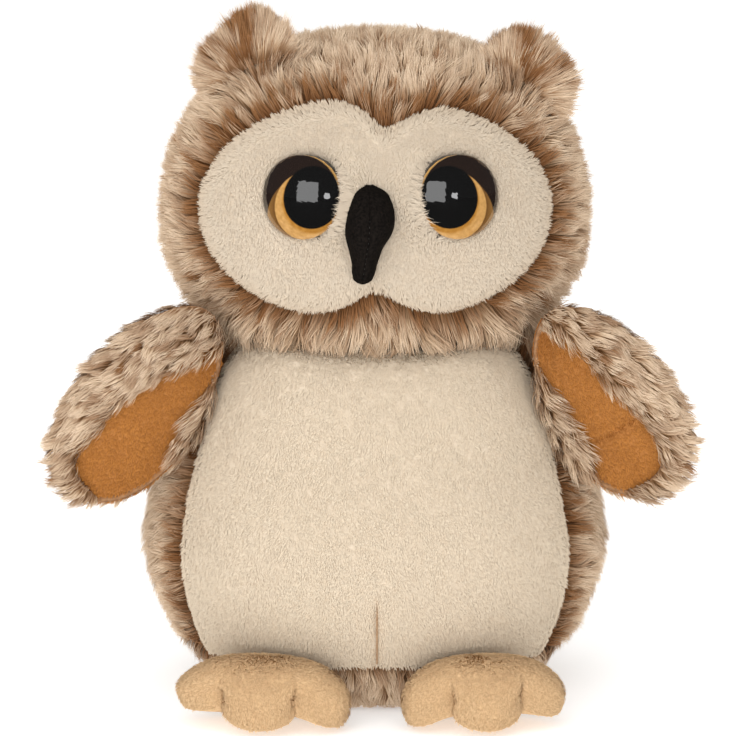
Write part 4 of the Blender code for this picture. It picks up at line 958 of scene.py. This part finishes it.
def make_base():
    """The base panel: its wall up to the seam, and rings that close it under the body."""
    rows = np.linspace(0, BASE_SEAM_ROW, BASE_ROWS)
    turn = np.linspace(0, 2 * math.pi, RING_COLUMNS)[None, :] * np.ones((len(rows), 1))
    wall, pile = body_points(rows, turn)
    flat = wall[:1] * np.linspace(0, BASE_FLAT_SHARE, BASE_FLAT_ROWS)[:, None, None]
    outer = np.concatenate((flat, wall))
    pile = np.concatenate((np.full((BASE_FLAT_ROWS, pile.shape[1]), pile[0, 0]), pile))
    depth = FUR_PILE_HEIGHT * pile * np.ones(outer.shape[:2])
    skin = sunk(sheet(outer, BODY_MIDDLE), depth)
    skin["points"][..., 2] = np.maximum(skin["points"][..., 2], BASE_CLEARANCE)
    cloth("base_cloth", skin, FUR_CLOTH, "body", ("base_panel",))
    comb = np.concatenate((outer[..., :2] * BASE_FAN, -np.ones((*outer.shape[:2], 1))), axis=-1)
    tone = BASE_TONE * ease((outer[..., 2] - BASE_TONE_BOTTOM) / BASE_TONE_FADE)
    skin.update(comb=comb, height=depth, tone=tone)
    grow("base_fur", skin, LONG_COAT, 51, FUR_PILE, "body",
         keep=lambda p: p[:, 2] > BASE_FUR_BOTTOM)


# Ears

EAR_ROWS, EAR_COLUMNS, EAR_INSET, EAR_LAYER_GAP = 26, 60, 0.0022, 0.0001
EAR_THINNING, EAR_FAN = 0.9, (0.8, 0.006)
EAR_LENGTH_OVER, EAR_LENGTHS, EAR_ROOT_PILE = 0.0026, (0.0018, 0.0085), (0.35, 0.65)
EAR_TONE, EAR_ROOT_TONE, EAR_ROOT_TONE_REACH, EAR_BACK_TONE = 0.22, 0.5, 0.35, 0.15
EAR_STREAK_FADE = 0.2
# A place on the far side of each layer, back and up from the root
EAR_INSIDE = (0.02, 0.004)


def ear_frame(side):
    angle = EAR_PLACE_ANGLE[side]
    ahead, level = math.sin(EAR_FORWARD_ANGLE), math.cos(EAR_FORWARD_ANGLE)
    out = head_points(np.array((math.sin(angle) * level, -ahead, math.cos(angle) * level)))
    normal = head_normals(out)
    upright = Vector((normal[0], 0, normal[2])).normalized()
    along = Vector((upright.z, 0, -upright.x))
    place = Matrix.Identity(4)
    for i, axis in enumerate((along, Vector((0, 1, 0)), upright)):
        place.col[i][:3] = axis
    place.col[3][:3] = Vector(out) + upright * EAR_SEAT
    return place


def ear_edge(turn, side):
    edge = 1 / np.hypot(np.cos(turn) / EAR_HALF_WIDTH[side], np.sin(turn) / EAR_REACH[side])
    off = turn - math.pi / 2 - EAR_TIP_LEAN[side]
    return edge * (1 + EAR_TIP_SHARE[side] * np.exp(-((off / EAR_TIP_WIDTH) ** 2)))


def make_ear(side):
    place, body = ear_frame(side), f"ear_{side}"
    turn = np.linspace(-EAR_DROOP, math.pi + EAR_DROOP, EAR_COLUMNS)[None, :]
    share = np.linspace(0, 1, EAR_ROWS)[:, None]
    edge = ear_edge(turn, side) - EAR_INSET
    across, up = edge * share * np.cos(turn), edge * share * np.sin(turn)
    cup = -EAR_CUP * (across / EAR_HALF_WIDTH[side]) ** 2
    swell = np.clip((up + EAR_ROOT_THICKNESS) / EAR_ROOT_RISE, 0, 1)
    full = EAR_ROOT_THICKNESS + (EAR_THICKNESS - EAR_ROOT_THICKNESS) * swell
    thick = full * (1 - EAR_THINNING * share**4) * 0.5
    least, more = EAR_ROOT_PILE
    height = EAR_PILE_HEIGHT * (least + more * swell)
    length = np.clip(edge * (1 - share) + EAR_LENGTH_OVER, *EAR_LENGTHS)
    ray = np.stack((across * EAR_FAN[0], 0 * across, up + EAR_FAN[1]), axis=-1)
    comb = ray @ np.array(place.to_3x3()).T
    front_tone = EAR_TONE + EAR_ROOT_TONE * near_seam(share, EAR_ROOT_TONE_REACH)
    front_tone = front_tone * np.ones(turn.shape)
    for centre, strength, wide in EAR_STREAKS[side]:
        streak = near_seam(np.degrees(turn) - centre, wide)
        front_tone = front_tone + strength * streak * (1 - EAR_STREAK_FADE * share)
    back_tone = np.full(front_tone.shape, EAR_BACK_TONE)
    for name, sign, slot, tone in (("front", -1, "dark_fur", front_tone),
                                   ("back", 1, "frosted_fur", back_tone)):
        flat = np.stack((across, cup + sign * (thick + EAR_LAYER_GAP), up), axis=-1)
        inside = from_frame(place, np.array((0, -sign * EAR_INSIDE[0], EAR_INSIDE[1])))
        skin = sheet(from_frame(place, flat), inside)
        cloth(f"ear_{side}_{name}_cloth", skin, FUR_CLOTH, body,
              (f"ear_{side}_{name}",))
        skin.update(comb=comb, height=height, tone=tone, lean=length / height)
        grow(f"ear_{side}_{name}_fur", skin, EAR_COAT, 61 + len(side) + sign, FUR_PILE, body)


# Wings

POUCH_ROWS, POUCH_COLUMNS, POUCH_POWER = 34, 121, 2.4
# Steps that close in on a place on the pouch, and on its edge
RISE_STEPS, EDGE_STEPS = 12, 40
WING_MIDDLE = np.array((0.021, WING_RAISE, 0))
# The back's two rows round the rim, which close it up to the front's ring of fur
RIM_INSET, RIM_DROP, RIM_PILE_SHARE, RIM_PILE_ROWS = 0.0002, 0.0009, 0.7, 3
WING_BACK_COMB, WING_BACK_TONE = (0.75, 0.0, -0.55), 0.18
LINING_INSET, LINING_COMB, LINING_PATCH_SIZE = 0.0008, (0.5, 0.0, -0.8), 0.010
LINING_POINTS, LINING_EDGE_GAP, LINING_FARTHEST = 150, 0.0003, 0.06
# How far the lining runs on under the fold, and up to the rim where the fold is narrow
LINING_UNDER, LINING_UNDER_NARROW, NARROW_FOLD = 0.4, 0.004, 0.0015
# Painted shade: the lining's nap is darker near the wing's root, where the wing meets the body
LINING_TONE, LINING_PATCH_SHARE, LINING_ROOT_PAINTED_SHADE = 0.25, 0.5, 0.6
LINING_ROOT_X, LINING_ROOT_REACH = -0.011, 0.013
# Painted shade: the nap is darkened along the crease across the right lining
CREASE_WIDTH, CREASE_DEPTH, CREASE_PAINTED_SHADE, CREASE_PILE_LOSS = 0.0009, 0.0009, 0.75, 0.6
# The fold of fur that frames the lining
FOLD_ROWS, FOLD_LIFT, FOLD_SWELL, FOLD_SINK = 16, 0.0004, 0.0010, 0.0012
FOLD_FULL_WIDTH, FOLD_FULL_PILE_WIDTH, FOLD_LEAST_PILE = 0.004, 0.003, 0.15
FOLD_COMB, FOLD_TONE, FOLD_EDGE_TONE, FOLD_EDGE_REACH = (0.85, -0.1, -0.5), 0.16, 0.3, 0.15


def wing_frame(side):
    sign, drop = SIDES[side], WING_DROP[side]
    along = Vector((sign * math.cos(drop), 0, -math.sin(drop)))
    up = Vector((sign * math.sin(drop), 0, math.cos(drop)))
    ahead = Vector((0, -1, 0))
    edge = ahead * math.cos(WING_TWIST) + up * math.sin(WING_TWIST)
    fur_side = up * math.cos(WING_TWIST) - ahead * math.sin(WING_TWIST)
    place = Matrix.Identity(4)
    for i, axis in enumerate((along, edge, fur_side)):
        place.col[i][:3] = axis
    place.col[3][:3] = Vector((sign * WING_ROOT_X[side], -WING_ROOT_FORWARD[side],
                               WING_ROOT_HEIGHT))
    return place


def wing_sizes(side, inset=0.0):
    """Half-length and middle of the wing's outline along it."""
    half = (WING_LENGTH[side] + WING_ROOT_OVERRUN) / 2 - inset
    return half, (WING_LENGTH[side] - WING_ROOT_OVERRUN) / 2


def wing_pouch(side, inset, rise):
    """One side of the wing's pouch as rows from its crest to its edge."""
    half, middle = wing_sizes(side, inset)
    turn = np.linspace(0, 2 * math.pi, POUCH_COLUMNS)[None, :]
    share = np.linspace(0, 1, POUCH_ROWS)[:, None]
    wide = (WING_HALF_WIDTH - inset) * (1 + WING_EGG_SHARE * np.cos(turn))
    up = 1 - share**POUCH_POWER
    x = middle + half * np.cos(turn) * share
    y = WING_RAISE + wide * np.sin(turn) * share + WING_CREST_SHIFT * up
    return np.stack((x, y, rise * up * np.ones(turn.shape)), axis=-1)


def front_rise(side, x, y):
    """Height of the lining's side at places in the wing's frame."""
    half, middle = wing_sizes(side)
    across = (x - middle) / half
    share = np.zeros(np.broadcast(x, y).shape)
    for _ in range(RISE_STEPS):
        up = (y - WING_RAISE - WING_CREST_SHIFT * (1 - share**POUCH_POWER)) / WING_HALF_WIDTH
        up = up / (1 + WING_EGG_SHARE * across)
        share = np.clip(np.hypot(across, up), 0, 1)
    return WING_LINING_RISE * (1 - share**POUCH_POWER)


def polar(points, middle):
    """Turn and reach of places about a middle."""
    local = points - middle
    return np.arctan2(local[:, 1], local[:, 0]), np.hypot(local[:, 0], local[:, 1])


def lining_outline(side):
    """The bare lining's middle and outline, and the pouch's edge straight out from it."""
    table = np.array(LINING_OUTLINE[side]) / 1000
    middle = np.array(LINING_MIDDLE[side]) / 1000
    steps = np.linalg.norm(np.diff(table, axis=0), axis=1).cumsum()
    places = np.concatenate(((0,), steps))
    at = np.linspace(0, places[-1], LINING_POINTS)
    inner = np.stack([curve_through(places, table[:, i], at) for i in range(2)], axis=-1)
    half, centre = wing_sizes(side, WING_RING_INSET)
    angle, reach = polar(inner, middle)
    ray = np.stack((np.cos(angle), np.sin(angle)), axis=-1)
    low, high = np.zeros(len(ray)), np.full(len(ray), LINING_FARTHEST)
    for _ in range(EDGE_STEPS):
        mid = (low + high) / 2
        spot = middle + ray * mid[:, None]
        across = (spot[:, 0] - centre) / half
        wide = (WING_HALF_WIDTH - WING_RING_INSET) * (1 + WING_EGG_SHARE * across)
        inside = across**2 + ((spot[:, 1] - WING_RAISE) / wide) ** 2 < 1
        low, high = np.where(inside, mid, low), np.where(inside, high, mid)
    inner = middle + ray * np.minimum(reach, low - LINING_EDGE_GAP)[:, None]
    return middle, inner, middle + ray * low[:, None]


def side_comb(side, comb, shape):
    """One comb all over a wing's sheet, its x pointing outward."""
    return np.array((SIDES[side] * comb[0], *comb[1:])) * np.ones(shape)


def make_wing(side):
    place, body = wing_frame(side), f"wing_{side}"
    outline = lining_outline(side)
    make_wing_back(side, place, body)
    make_wing_lining(side, place, body, *outline)
    make_wing_fold(side, place, body, *outline[1:])


def make_wing_back(side, place, body):
    back = wing_pouch(side, WING_BACK_INSET, WING_FUR_RISE - WING_PILE_HEIGHT)
    rim = wing_pouch(side, WING_RING_INSET - RIM_INSET, 0.0)[-1:] - (0, 0, RIM_DROP)
    back = np.concatenate((back, (back[-1:] + rim) / 2, rim))
    skin = sheet(from_frame(place, back), from_frame(place, WING_MIDDLE))
    cloth(f"wing_{side}_fur_cloth", skin, FUR_CLOTH, body,
          (f"wing_{side}_fur_panel", f"wing_{side}_filling"))
    height = np.full(back.shape[:2], WING_PILE_HEIGHT)
    height[-RIM_PILE_ROWS:] *= RIM_PILE_SHARE
    skin.update(comb=side_comb(side, WING_BACK_COMB, back.shape), height=height,
                tone=WING_BACK_TONE + patches(skin["points"], 7))
    grow(f"wing_{side}_back_fur", skin, WING_COAT, 71, FUR_PILE, body)


def make_wing_lining(side, place, body, middle, inner, outer):
    angles, reach = polar(inner, middle)
    _, full = polar(outer, middle)
    limit = reach + LINING_UNDER * (full - reach)
    limit = limit + LINING_UNDER_NARROW * (full - reach < NARROW_FOLD)

    def bare(points):
        found, out = polar(in_frame(place, points)[:, :2], middle)
        return out < np.interp(found, angles, limit, period=2 * math.pi)

    front = wing_pouch(side, LINING_INSET, NAP_PILE_HEIGHT - WING_LINING_RISE)
    start, end = np.array(LINING_CREASE) / 1000
    line = (end - start) / np.linalg.norm(end - start)
    off = (front[..., :2] - start) @ np.array((-line[1], line[0]))
    crease = near_seam(off, CREASE_WIDTH) * (side == "right")
    front[..., 2] = front[..., 2] + CREASE_DEPTH * crease
    skin = sheet(from_frame(place, front), from_frame(place, WING_MIDDLE))
    cloth(f"wing_{side}_lining_cloth", skin, CARAMEL_CLOTH, body,
          (f"wing_{side}_lining",), keep=bare)
    # The crease is darkened as painted shade
    tone = LINING_TONE + CREASE_PAINTED_SHADE * crease
    # Darker nap near the wing's root is painted shade
    tone = tone + LINING_ROOT_PAINTED_SHADE * near_seam(front[..., 0] - LINING_ROOT_X, LINING_ROOT_REACH)
    tone = tone + LINING_PATCH_SHARE * patches(skin["points"], 9, LINING_PATCH_SIZE)
    skin.update(comb=side_comb(side, LINING_COMB, front.shape), tone=tone,
                height=NAP_PILE_HEIGHT * (1 - CREASE_PILE_LOSS * crease))
    grow(f"wing_{side}_lining_nap", skin, NAP_COAT, 81, CARAMEL_PILE, body, bare)


def make_wing_fold(side, place, body, inner, outer):
    """The ring of fur between the bare lining and the wing's edge."""
    share = np.linspace(0, 1, FOLD_ROWS)[:, None]
    flat = inner[None] + (outer - inner)[None] * share[..., None]
    x, y = flat[..., 0], flat[..., 1]
    wide = np.linalg.norm(outer - inner, axis=-1)
    lift = FOLD_LIFT + FOLD_SWELL * np.sin(share * math.pi) ** 0.5
    lift = lift * np.clip(wide / FOLD_FULL_WIDTH, 0, 1)
    lift = lift - FOLD_SINK * (1 - ease(wide / NARROW_FOLD))
    wrap = np.stack((x, y, -front_rise(side, x, y) - lift), axis=-1)
    skin = sheet(from_frame(place, wrap), from_frame(place, WING_MIDDLE))
    cloth(f"wing_{side}_fold_cloth", skin, FUR_CLOTH, body, ())
    tone = FOLD_TONE + patches(skin["points"], 8)
    tone = tone + FOLD_EDGE_TONE * near_seam(share, FOLD_EDGE_REACH)
    pile = np.clip(wide / FOLD_FULL_PILE_WIDTH, FOLD_LEAST_PILE, 1)
    skin.update(comb=side_comb(side, FOLD_COMB, wrap.shape), tone=tone,
                height=WING_PILE_HEIGHT * pile * np.ones(x.shape))
    grow(f"wing_{side}_front_fur", skin, WING_COAT, 91, FUR_PILE, body)


# Feet

FOOT_ROWS, FOOT_COLUMNS, SOLE_ROWS = 40, 181, 16
FOOT_FULLNESS, TOE_NOTCH_POWER = -0.25, 0.7
FOOT_TONE, FOOT_COMB_HEIGHT = 0.15, 1.3
SOLE_CLEARANCE, SOLE_RIM_DROP = 0.0012, 0.0015


def toe_notch(turn):
    off = (turn + math.pi / 2 + math.pi) % (2 * math.pi) - math.pi
    depth = TOE_NOTCH_SHARE * (1 - abs(np.cos(math.pi * off / TOE_ANGLE)) ** TOE_NOTCH_POWER)
    return np.where(abs(off) > TOE_ANGLE, 0.0, depth)


def toe_lift(turn, side):
    outward = np.maximum(SIDES[side] * np.cos(turn), 0)
    return TOE_NOTCH_LIFT * toe_notch(turn) / TOE_NOTCH_SHARE + OUTER_TOE_LIFT[side] * outward**2


def foot_place(side):
    place = Matrix.Translation((FOOT_X[side], FOOT_Y, 0))
    return place @ Matrix.Rotation(FOOT_SPLAY[side], 4, "Z")


def foot_ring(side, turn, share):
    """Places across a foot whose widest outline has a share of 1."""
    reach = share * (1 - toe_notch(turn) * share**TOE_NOTCH_FADE)
    x = (FOOT_HALF_WIDTH[side] - NAP_PILE_HEIGHT) * np.cos(turn) * reach * share**FOOT_FULLNESS
    return x, (FOOT_HALF_LENGTH - NAP_PILE_HEIGHT) * np.sin(turn) * reach


def foot_sheet(side, place):
    turn = np.linspace(0, 2 * math.pi, FOOT_COLUMNS)[None, :]
    angle = np.linspace(0, FOOT_WRAP_ANGLE, FOOT_ROWS)[:, None]
    x, y = foot_ring(side, turn, np.maximum(np.sin(angle), 1e-9))
    above = FOOT_HEIGHT - FOOT_WIDEST_HEIGHT - NAP_PILE_HEIGHT
    below = (FOOT_WIDEST_HEIGHT - SOLE_TOP) / -math.cos(FOOT_WRAP_ANGLE)
    z = FOOT_WIDEST_HEIGHT + np.where(angle > math.pi / 2, below, above) * np.cos(angle)
    z = z + toe_lift(turn, side) * np.minimum(angle / (math.pi / 2), 1) ** TOE_NOTCH_FADE
    points = from_frame(place, np.stack((x, y, z), axis=-1))
    return sheet(points, from_frame(place, np.array((0, 0, FOOT_WIDEST_HEIGHT))))


def sole_sheet(side, place):
    """An arched sole from the middle out to the upper's lower edge."""
    turn = np.linspace(0, 2 * math.pi, FOOT_COLUMNS)[None, :]
    ring = np.linspace(0, 1, SOLE_ROWS)[:, None]
    x, y = foot_ring(side, turn, np.sin(FOOT_WRAP_ANGLE))
    z = SOLE_CLEARANCE + SOLE_ARCH * (1 - ring**4) + (SOLE_TOP - SOLE_RIM_DROP) * ring**6
    z = z + toe_lift(turn, side) * ring**4
    points = from_frame(place, np.stack((x * ring, y * ring, z), axis=-1))
    return sheet(points, from_frame(place, np.array((0, 0, FOOT_HEIGHT))))


def make_foot(side):
    place, body = foot_place(side), f"foot_{side}"
    skin = foot_sheet(side, place)
    cloth(f"foot_{side}_upper_cloth", skin, SAND_CLOTH, body,
          (f"foot_{side}_upper", f"foot_{side}_filling"))
    top = np.array((0, 0, FOOT_HEIGHT * FOOT_COMB_HEIGHT))
    comb = skin["points"] - np.array(place.translation) - top
    skin.update(comb=comb, height=np.full(comb.shape[:2], NAP_PILE_HEIGHT),
                tone=np.full(comb.shape[:2], FOOT_TONE))
    grow(f"foot_{side}_upper_nap", skin, NAP_COAT, 101, SAND_PILE, body)
    cloth(f"foot_{side}_sole_cloth", sole_sheet(side, place), SAND_CLOTH, body,
          (f"foot_{side}_sole",))


# Beak

BEAK_POINTS, BEAK_COLUMNS, BEAK_SEAT, BEAK_MIDDLE = 60, 24, 0.0003, (BEAK_X, -0.03, 0.130)
GROOVE_DEPTH, GROOVE_WIDTH = 0.05, 0.12
TRIM_DEPTH, TRIM_PLACE, TRIM_REACH = 0.16, 0.64, 0.13
STITCHES, STITCH_START, STITCH_END, STITCH_PITCH = 12, 0.30, 0.335, 0.055
STITCH_POINTS, STITCH_RADIUS, STITCH_INSET, STITCH_BLUNTNESS = 7, 0.00016, 0.0001, 0.15


def beak_points(row, angle, inset):
    """row holds places along the beak as a column, angle its turns as a line."""
    wide, reach, hook = (
        curve_through(BEAK_ROWS[:, 0], BEAK_ROWS[:, i], row) for i in range(1, 4)
    )
    height = BEAK_TOP - row * BEAK_LENGTH
    middle = BEAK_X + hook * BEAK_HALF_WIDTH
    groove = 1 - GROOVE_DEPTH * near_seam(angle, GROOVE_WIDTH)
    trim = 1 - TRIM_DEPTH * near_seam(row - TRIM_PLACE, TRIM_REACH) * (angle > 0)
    x = middle + (wide * BEAK_HALF_WIDTH - inset) * np.sin(angle) * trim
    seat = face_front(x, height * np.ones(x.shape))[..., 1] - BEAK_SEAT
    y = seat - (reach * BEAK_REACH - inset) * np.cos(angle) * groove
    return np.stack((x, y, height * np.ones(x.shape)), axis=-1)


def make_beak():
    row = np.linspace(1, 0, BEAK_POINTS)[:, None]
    for name, first, last, stands_for in (
        ("left", -math.pi / 2, 0, ("beak_left_half", "beak_filling")),
        ("right", 0, math.pi / 2, ("beak_right_half",)),
    ):
        angle = np.linspace(first, last, BEAK_COLUMNS)[None, :]
        skin = sheet(beak_points(row, angle, 0.0), np.array(BEAK_MIDDLE))
        cloth(f"beak_{name}_felt", skin, FELT, "head", stands_for)


def make_beak_stitches():
    bend = np.linspace(STITCH_BLUNTNESS, math.pi - STITCH_BLUNTNESS, STITCH_POINTS)
    radius = STITCH_RADIUS * np.sin(bend)
    lines = []
    for i in range(STITCHES):
        start, end = (place + STITCH_PITCH * i for place in (STITCH_START, STITCH_END))
        row = np.linspace(start, end, STITCH_POINTS)[:, None]
        lines.append((beak_points(row, np.array(((0.0,),)), STITCH_INSET)[:, 0], radius))
    tubes(lines, "beak_centre_stitches", THREAD, "head", 6)


# Floor, light and camera

FLOOR_RADIUS, FLOOR_SIDES, FLOOR_GLOW = 6, 96, 0.4
WORLD_COLOUR, WORLD_STRENGTH = (1.0, 0.985, 0.96, 1), 0.78
# Lights: turn to the right and tilt up in degrees, width and height in metres, power in watts
LIGHTS = {
    "window": (-19, 9, (0.85, 1.0), 5.9),
    "lamp": (20, 5, (0.2, 0.2), 0.65),
    "overhead": (-20, 65, (1.2, 1.2), 2.6),
    "low_fill": (4, -4, (1.2, 0.1), 2.3),
}
REFLECTED_LIGHTS = ("window", "lamp")
LIGHT_TARGET, LIGHT_DISTANCE = (0, 0, 0.13), 1.1
CAMERA_PLACE, CAMERA_TILT = (-0.0019, -0.9848, 0.2615), math.radians(80)
CAMERA_LENS, CAMERA_SENSOR = 177.07, 36


def grey(value):
    return (value, value, value, 1)


def by_ray(tree, ray, usual, special):
    """One shader for a kind of ray and another for all the rest."""
    path = add_node(tree, "LightPath").outputs[ray]
    return add_node(tree, "MixShader", {"Fac": path, 1: usual, 2: special}).outputs["Shader"]


def make_floor():
    """A white floor that is dark in reflections, so the eyes stay dark below."""
    bpy.ops.mesh.primitive_circle_add(vertices=FLOOR_SIDES, radius=FLOOR_RADIUS, fill_type="NGON")
    floor = bpy.context.object
    floor.name = "floor"
    material, tree, shader = new_material("white_floor", 0.9)
    shader.inputs["Base Color"].default_value = grey(0.95)
    shader.inputs["Emission Color"].default_value = grey(1)
    shader.inputs["Emission Strength"].default_value = FLOOR_GLOW
    mirrored = add_node(tree, "BsdfDiffuse", {"Color": grey(0.03)}).outputs["BSDF"]
    surface = by_ray(tree, "Is Glossy Ray", shader.outputs["BSDF"], mirrored)
    tree.links.new(surface, tree.nodes["Material Output"].inputs["Surface"])
    floor.data.materials.append(material)


def make_world():
    """Even light all round: white to the camera and nearly black in reflections."""
    world = bpy.data.worlds.new("studio")
    bpy.context.scene.world = world
    world.use_nodes = True
    tree = world.node_tree
    light = tree.nodes["Background"]
    light.inputs["Color"].default_value = WORLD_COLOUR
    light.inputs["Strength"].default_value = WORLD_STRENGTH
    dim, seen = (
        add_node(tree, "Background", {"Color": grey(value)}).outputs["Background"]
        for value in (0.05, 1)
    )
    surface = by_ray(tree, "Is Glossy Ray", light.outputs["Background"], dim)
    surface = by_ray(tree, "Is Camera Ray", surface, seen)
    tree.links.new(surface, tree.nodes["World Output"].inputs["Surface"])


def make_lights():
    for name, (turn, tilt, size, power) in LIGHTS.items():
        light = bpy.data.lights.new(name, "AREA")
        light.shape = "RECTANGLE"
        light.size, light.size_y = size
        light.energy = power
        holder = bpy.data.objects.new(name, light)
        bpy.context.scene.collection.objects.link(holder)
        holder.visible_glossy = name in REFLECTED_LIGHTS
        turn, tilt = math.radians(turn), math.radians(tilt)
        level = math.cos(tilt)
        out = Vector((math.sin(turn) * level, -math.cos(turn) * level, math.sin(tilt)))
        holder.location = Vector(LIGHT_TARGET) + out * LIGHT_DISTANCE
        holder.rotation_euler = out.to_track_quat("Z", "Y").to_euler()


def make_camera():
    camera = bpy.data.objects.new("camera", bpy.data.cameras.new("camera"))
    camera.data.lens = CAMERA_LENS
    camera.data.sensor_width = CAMERA_SENSOR
    camera.location = CAMERA_PLACE
    camera.rotation_euler = (CAMERA_TILT, 0, 0)
    bpy.context.scene.collection.objects.link(camera)
    bpy.context.scene.camera = camera
    bpy.context.scene.view_settings.view_transform = "Standard"


# Eyes, on their own solids


def smooth_shading():
    """Geometry nodes that shade a rounded mesh smooth."""
    tree = bpy.data.node_groups.new("smooth_shading", "GeometryNodeTree")
    for way in ("INPUT", "OUTPUT"):
        tree.interface.new_socket("Geometry", in_out=way, socket_type="NodeSocketGeometry")
    start, end = tree.nodes.new("NodeGroupInput"), tree.nodes.new("NodeGroupOutput")
    shade = tree.nodes.new("GeometryNodeSetShadeSmooth")
    tree.links.new(start.outputs[0], shade.inputs["Geometry"])
    tree.links.new(shade.outputs[0], end.inputs[0])
    return tree


def dress_eyes():
    back = woven_material("black_plastic_grain", (0.004, 0.004, 0.004), (0.010, 0.009, 0.009),
                          2500, roughness=0.3, bump=0.05)
    gold = woven_material("gold_paint", (0.50, 0.26, 0.06), (0.66, 0.37, 0.10), 1500, 0.35, 0.05)
    washer = woven_material("white_nylon", (0.72, 0.72, 0.70), (0.82, 0.82, 0.80), 1200, 0.5, 0.1)
    smooth = smooth_shading()
    for side in SIDES:
        for part, slot, material in (
            ("dome", "clear_dome", eye_material(side, eye_place(side))),
            ("stem", "black_plastic", back),
            ("iris_ring", "gold_ring", gold),
            ("lock_washer", "white_plastic", washer),
        ):
            piece = NODES[f"eye_{side}_{part}"]
            piece.material_slots[0].material = material
        dome = NODES[f"eye_{side}_dome"]
        dome.modifiers.new("join", "WELD").merge_threshold = MERGE_DISTANCE
        rounder = dome.modifiers.new("rounder", "SUBSURF")
        rounder.levels = rounder.render_levels = 2
        dome.modifiers.new("smooth shading", "NODES").node_group = smooth


make_camera()
make_floor()
make_world()
make_lights()
make_head_cover("right", 0, math.pi, 16)
make_head_cover("left", math.pi, 2 * math.pi, 15)
make_face()
make_belly()
make_dart()
make_back()
make_base()
for side in SIDES:
    make_ear(side)
    make_wing(side)
    make_foot(side)
make_beak()
make_beak_stitches()
dress_eyes()
